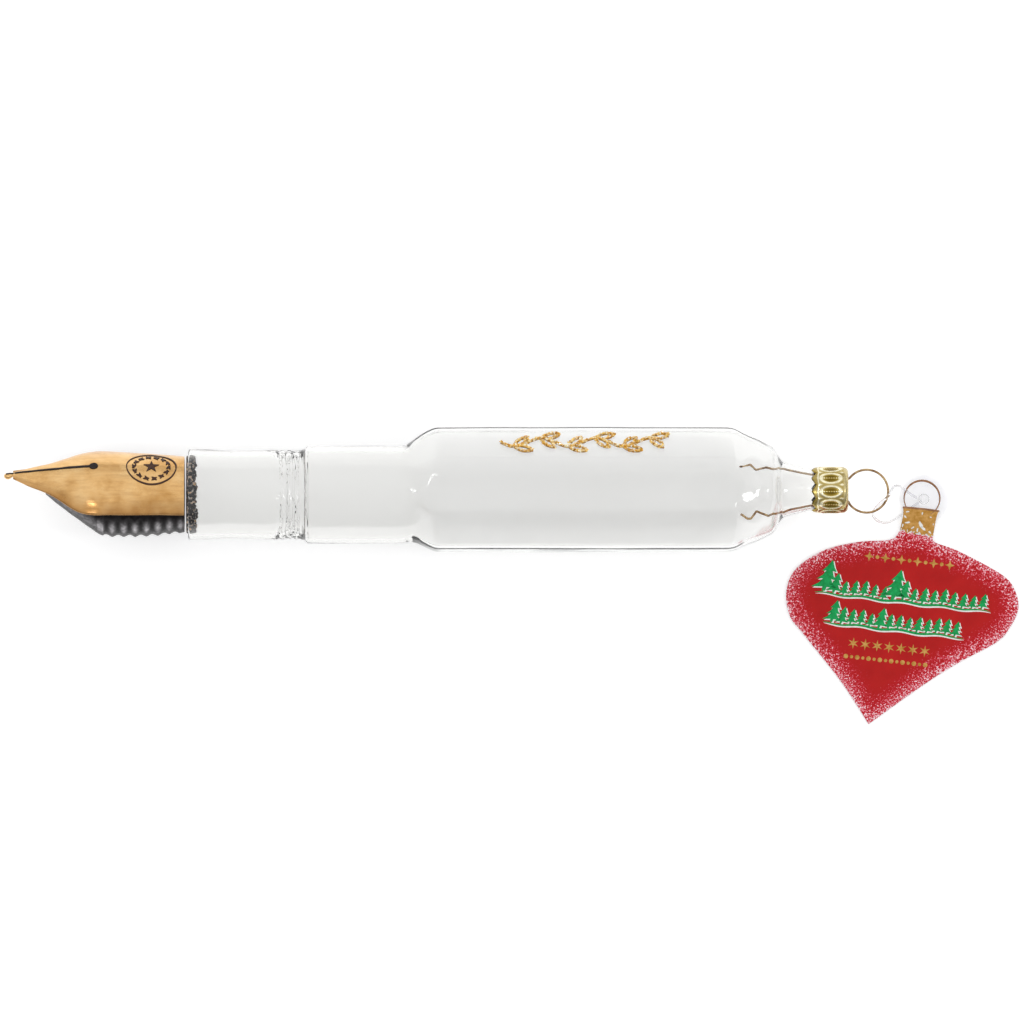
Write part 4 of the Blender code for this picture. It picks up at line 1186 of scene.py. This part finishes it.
def make_crown_print(gold, brown, white):
    """Printed gold crown of the bauble, with its dark rim and pale ornament."""
    first, second = over(1, tag_point), over(2, tag_point)
    rings = [[first(a, b, high) for a, b in inset(CROWN_BODY, (4.0, 0.0), share)]
             for share, high in ((1, INK_LOW), (0.99, INK_HIGH), (0.5, INK_HIGH))]
    piece("print_crown", loft(rings), gold, "tag")
    arc = [(-0.08 + 3.13 * cos(a), -0.36 + 3.13 * sin(a))
           for a in (radians(42 + 276 * n / 89) for n in range(90))]
    lines = [ribbon(smooth_outline(CROWN_RIM, 0.25), 0.17, second),
             ribbon(arc, lambda t: 0.14 - 0.05 * cos(2 * pi * t), first)]
    piece("print_brown", join(lines), brown, "tag")
    bits = []
    pick = random.Random(5)
    bases = [(6.0 + 0.2 * (n % 2), -2.7 + 0.56 * n, 0.2) for n in range(11)]
    for along, across, size in CROWN_GLINTS + bases:
        lean = pick.uniform(0, 3.1)
        shard = []
        for turn in turns(5):
            angle = turn + pick.uniform(-0.35, 0.35)
            a, b = size * 1.25 * cos(angle), size * 0.5 * sin(angle)
            shard.append((along + a * cos(lean) - b * sin(lean), across + a * sin(lean) + b * cos(lean)))
        bits.append(patch(shard, second))
    piece("print_crown_glints", join(bits), white, "tag")


def fir(u, v, tall, lean):
    """Outline of a fir tree in three tiers, standing on (u, v)."""
    right = [(0.0, 1.0)]
    for low, wide, notch in ((0.64, 0.22, 0.09), (0.36, 0.32, 0.13), (0.1, 0.42, 0.07)):
        right += [(wide * 0.55, low + 0.13), (wide, low), (notch, low + 0.03)]
    right += [(0.05, 0.0)]
    outline = right + [(-a, b) for a, b in reversed(right[1:])]
    return [(u + tall * (a + lean * b), v - tall * b) for a, b in outline]


def drift_width(t):
    return 0.2 * sin(pi * t) ** 0.5 + 0.02


def make_line_prints(green, white, gold):
    """Two green rows of firs over snow drifts, and gold rules of dots, stars and crystals."""
    greens, whites = [], []
    pick = random.Random(3)
    for start, end, v, tall_ones in FIR_ROWS:
        count = round((end - start) / FIR_PITCH)
        for n in range(count):
            u = start + (end - start) * (n + 0.5) / count
            tall = tall_ones.get(n, pick.uniform(2.3, 2.9))
            foot = v + 0.16 * sin(0.9 * u)
            whites.append(patch(fir(u + 0.26, foot + 0.2, tall, 0.2), over(1.2)))
            greens.append(patch(fir(u, foot, tall, 0.2), over(2.3)))
        drift = [(u, v + 0.22 + 0.16 * sin(0.9 * u)) for u in stations(start - 0.6, end + 0.8, 50)]
        greens.append(ribbon(drift, drift_width, over(2)))
        whites.append(ribbon([(u + 0.15, w + 0.24) for u, w in drift], drift_width, over(1)))
    rules = []
    for n in range(11):
        u = -1.28 + (n - 5) * 1.42
        rules.append(disc(u, 11.0, 0.34) if n % 2 else star(u, 11.0, 0.9, 4, 0.36))
    rules += [star(-3.15 + (n - 3) * 2.1, 26.5, 1.05, 6, 0.33, 0.52) for n in range(7)]
    rules += [disc(-3.5 + (n - 7) * 1.0, 28.9, 0.3 if n % 2 else 0.42, 10) for n in range(15)]
    golds = [patch(outline, over(1)) for outline in rules]
    for name, parts, ink in (("print_white", whites, white), ("print_green", greens, green),
                             ("print_gold", golds, gold)):
        piece(name, join(parts), ink, "tag")


# --- floor and light ---

FLOOR_HALF = 3.0
FLOOR_DROP = 0.00008
LIGHT_DISTANCE = 0.9
LIGHT_TARGET = Vector((-0.01, 0, 0.01))
# brightness of the tent against how far a direction leans to its brightest
TENT_TONES = ((0.0, 0.3), (0.12, 0.42), (0.4, 0.72), (0.7, 0.92), (1.0, 0.98))


def add_floor():
    mesh = bpy.data.meshes.new("floor")
    mesh.from_pydata([(x * FLOOR_HALF, y * FLOOR_HALF, 0) for x, y in ((-1, -1), (1, -1), (1, 1), (-1, 1))],
                     [], [(0, 1, 2, 3)])
    f = surface("floor_card", Specular_IOR_Level=0.1, Emission_Color=(1, 1, 1, 1), Emission_Strength=0.47)
    grey = f.ramp(f.noise(60.0, 2.0), (0.3, (0.8, 0.8, 0.8)), (0.7, (0.82, 0.82, 0.82)), linear=True)
    f.fill(f.shader, {"Base Color": grey, "Roughness": f.spread(f.noise(30.0), 0.7, 0.8)})
    mesh.materials.append(f.made)
    made = add_object("floor", mesh)
    made.location = (0, 0, -FLOOR_DROP)


def add_light(name, towards, size, power):
    data = bpy.data.lights.new(name, "AREA")
    data.shape = "RECTANGLE"
    data.size, data.size_y = size
    data.energy = power
    where = LIGHT_TARGET + Vector(towards).normalized() * LIGHT_DISTANCE
    aim(add_object(name, data), where, LIGHT_TARGET)


def add_world():
    """White tent: bright overhead, greyer towards the horizon so that glass edges read."""
    f = Shading(bpy.data.worlds.new("studio"), "Background", "Generated", Strength=1.0)
    bpy.context.scene.world = f.made
    lean = f.fill(f.node("VectorMath"), {0: f.coords, 1: (0.0, 0.34, 0.94)})
    lean.operation = "DOT_PRODUCT"
    tones = [(place, (tone, tone, tone * 1.005)) for place, tone in TENT_TONES]
    f.fill(f.shader, {"Color": f.ramp(lean.outputs["Value"], *tones, linear=True)})


def main():
    add_camera()
    nylon = nylon_finish()
    make_loop(nylon, make_lock(nylon))
    make_glass(glass_finish())
    gold = lacquer_finish()
    make_nib(gold)
    make_bead(gold)
    make_slit(enamel_finish("black_enamel", (20, 12, 12), (42, 30, 28), 0.25))
    make_emblem(enamel_finish("brown_enamel", (52, 30, 22), (84, 52, 34), 0.4))
    make_feed(feed_finish())
    make_bond(bond_finish())
    glue = enamel_finish("glitter_glue", (150, 98, 30), (196, 142, 56), 0.4)
    make_glitter(glitter_finish(), glue)
    make_cap(brass_finish())
    wire = wire_finish()
    make_wire_ring(wire)
    make_leg("leg_wire_left", 1, LEFT_CRIMPS, wire, "leg_left", "spring_leg_left")
    make_leg("leg_wire_right", -1, RIGHT_CRIMPS, wire, "leg_right", "spring_leg_right")
    make_film(film_finish())
    make_red_print(red_finish())
    gold_ink = ink_finish("ink_gold", (176, 124, 44), (214, 164, 92))
    brown_ink = ink_finish("ink_brown", (128, 84, 52), (172, 128, 92))
    white_ink = ink_finish("ink_white", (226, 226, 222), (246, 247, 244))
    green_ink = ink_finish("ink_green", (8, 138, 68), (22, 172, 92))
    make_crown_print(gold_ink, brown_ink, white_ink)
    make_line_prints(green_ink, white_ink, gold_ink)
    add_floor()
    add_light("key", (0.7, -0.1, 0.7), (0.15, 0.09), 0.75)
    add_light("fill", (-0.3, -0.25, 0.9), (0.11, 0.09), 0.3)
    add_world()
    bpy.context.scene.view_settings.view_transform = "Standard"


main()
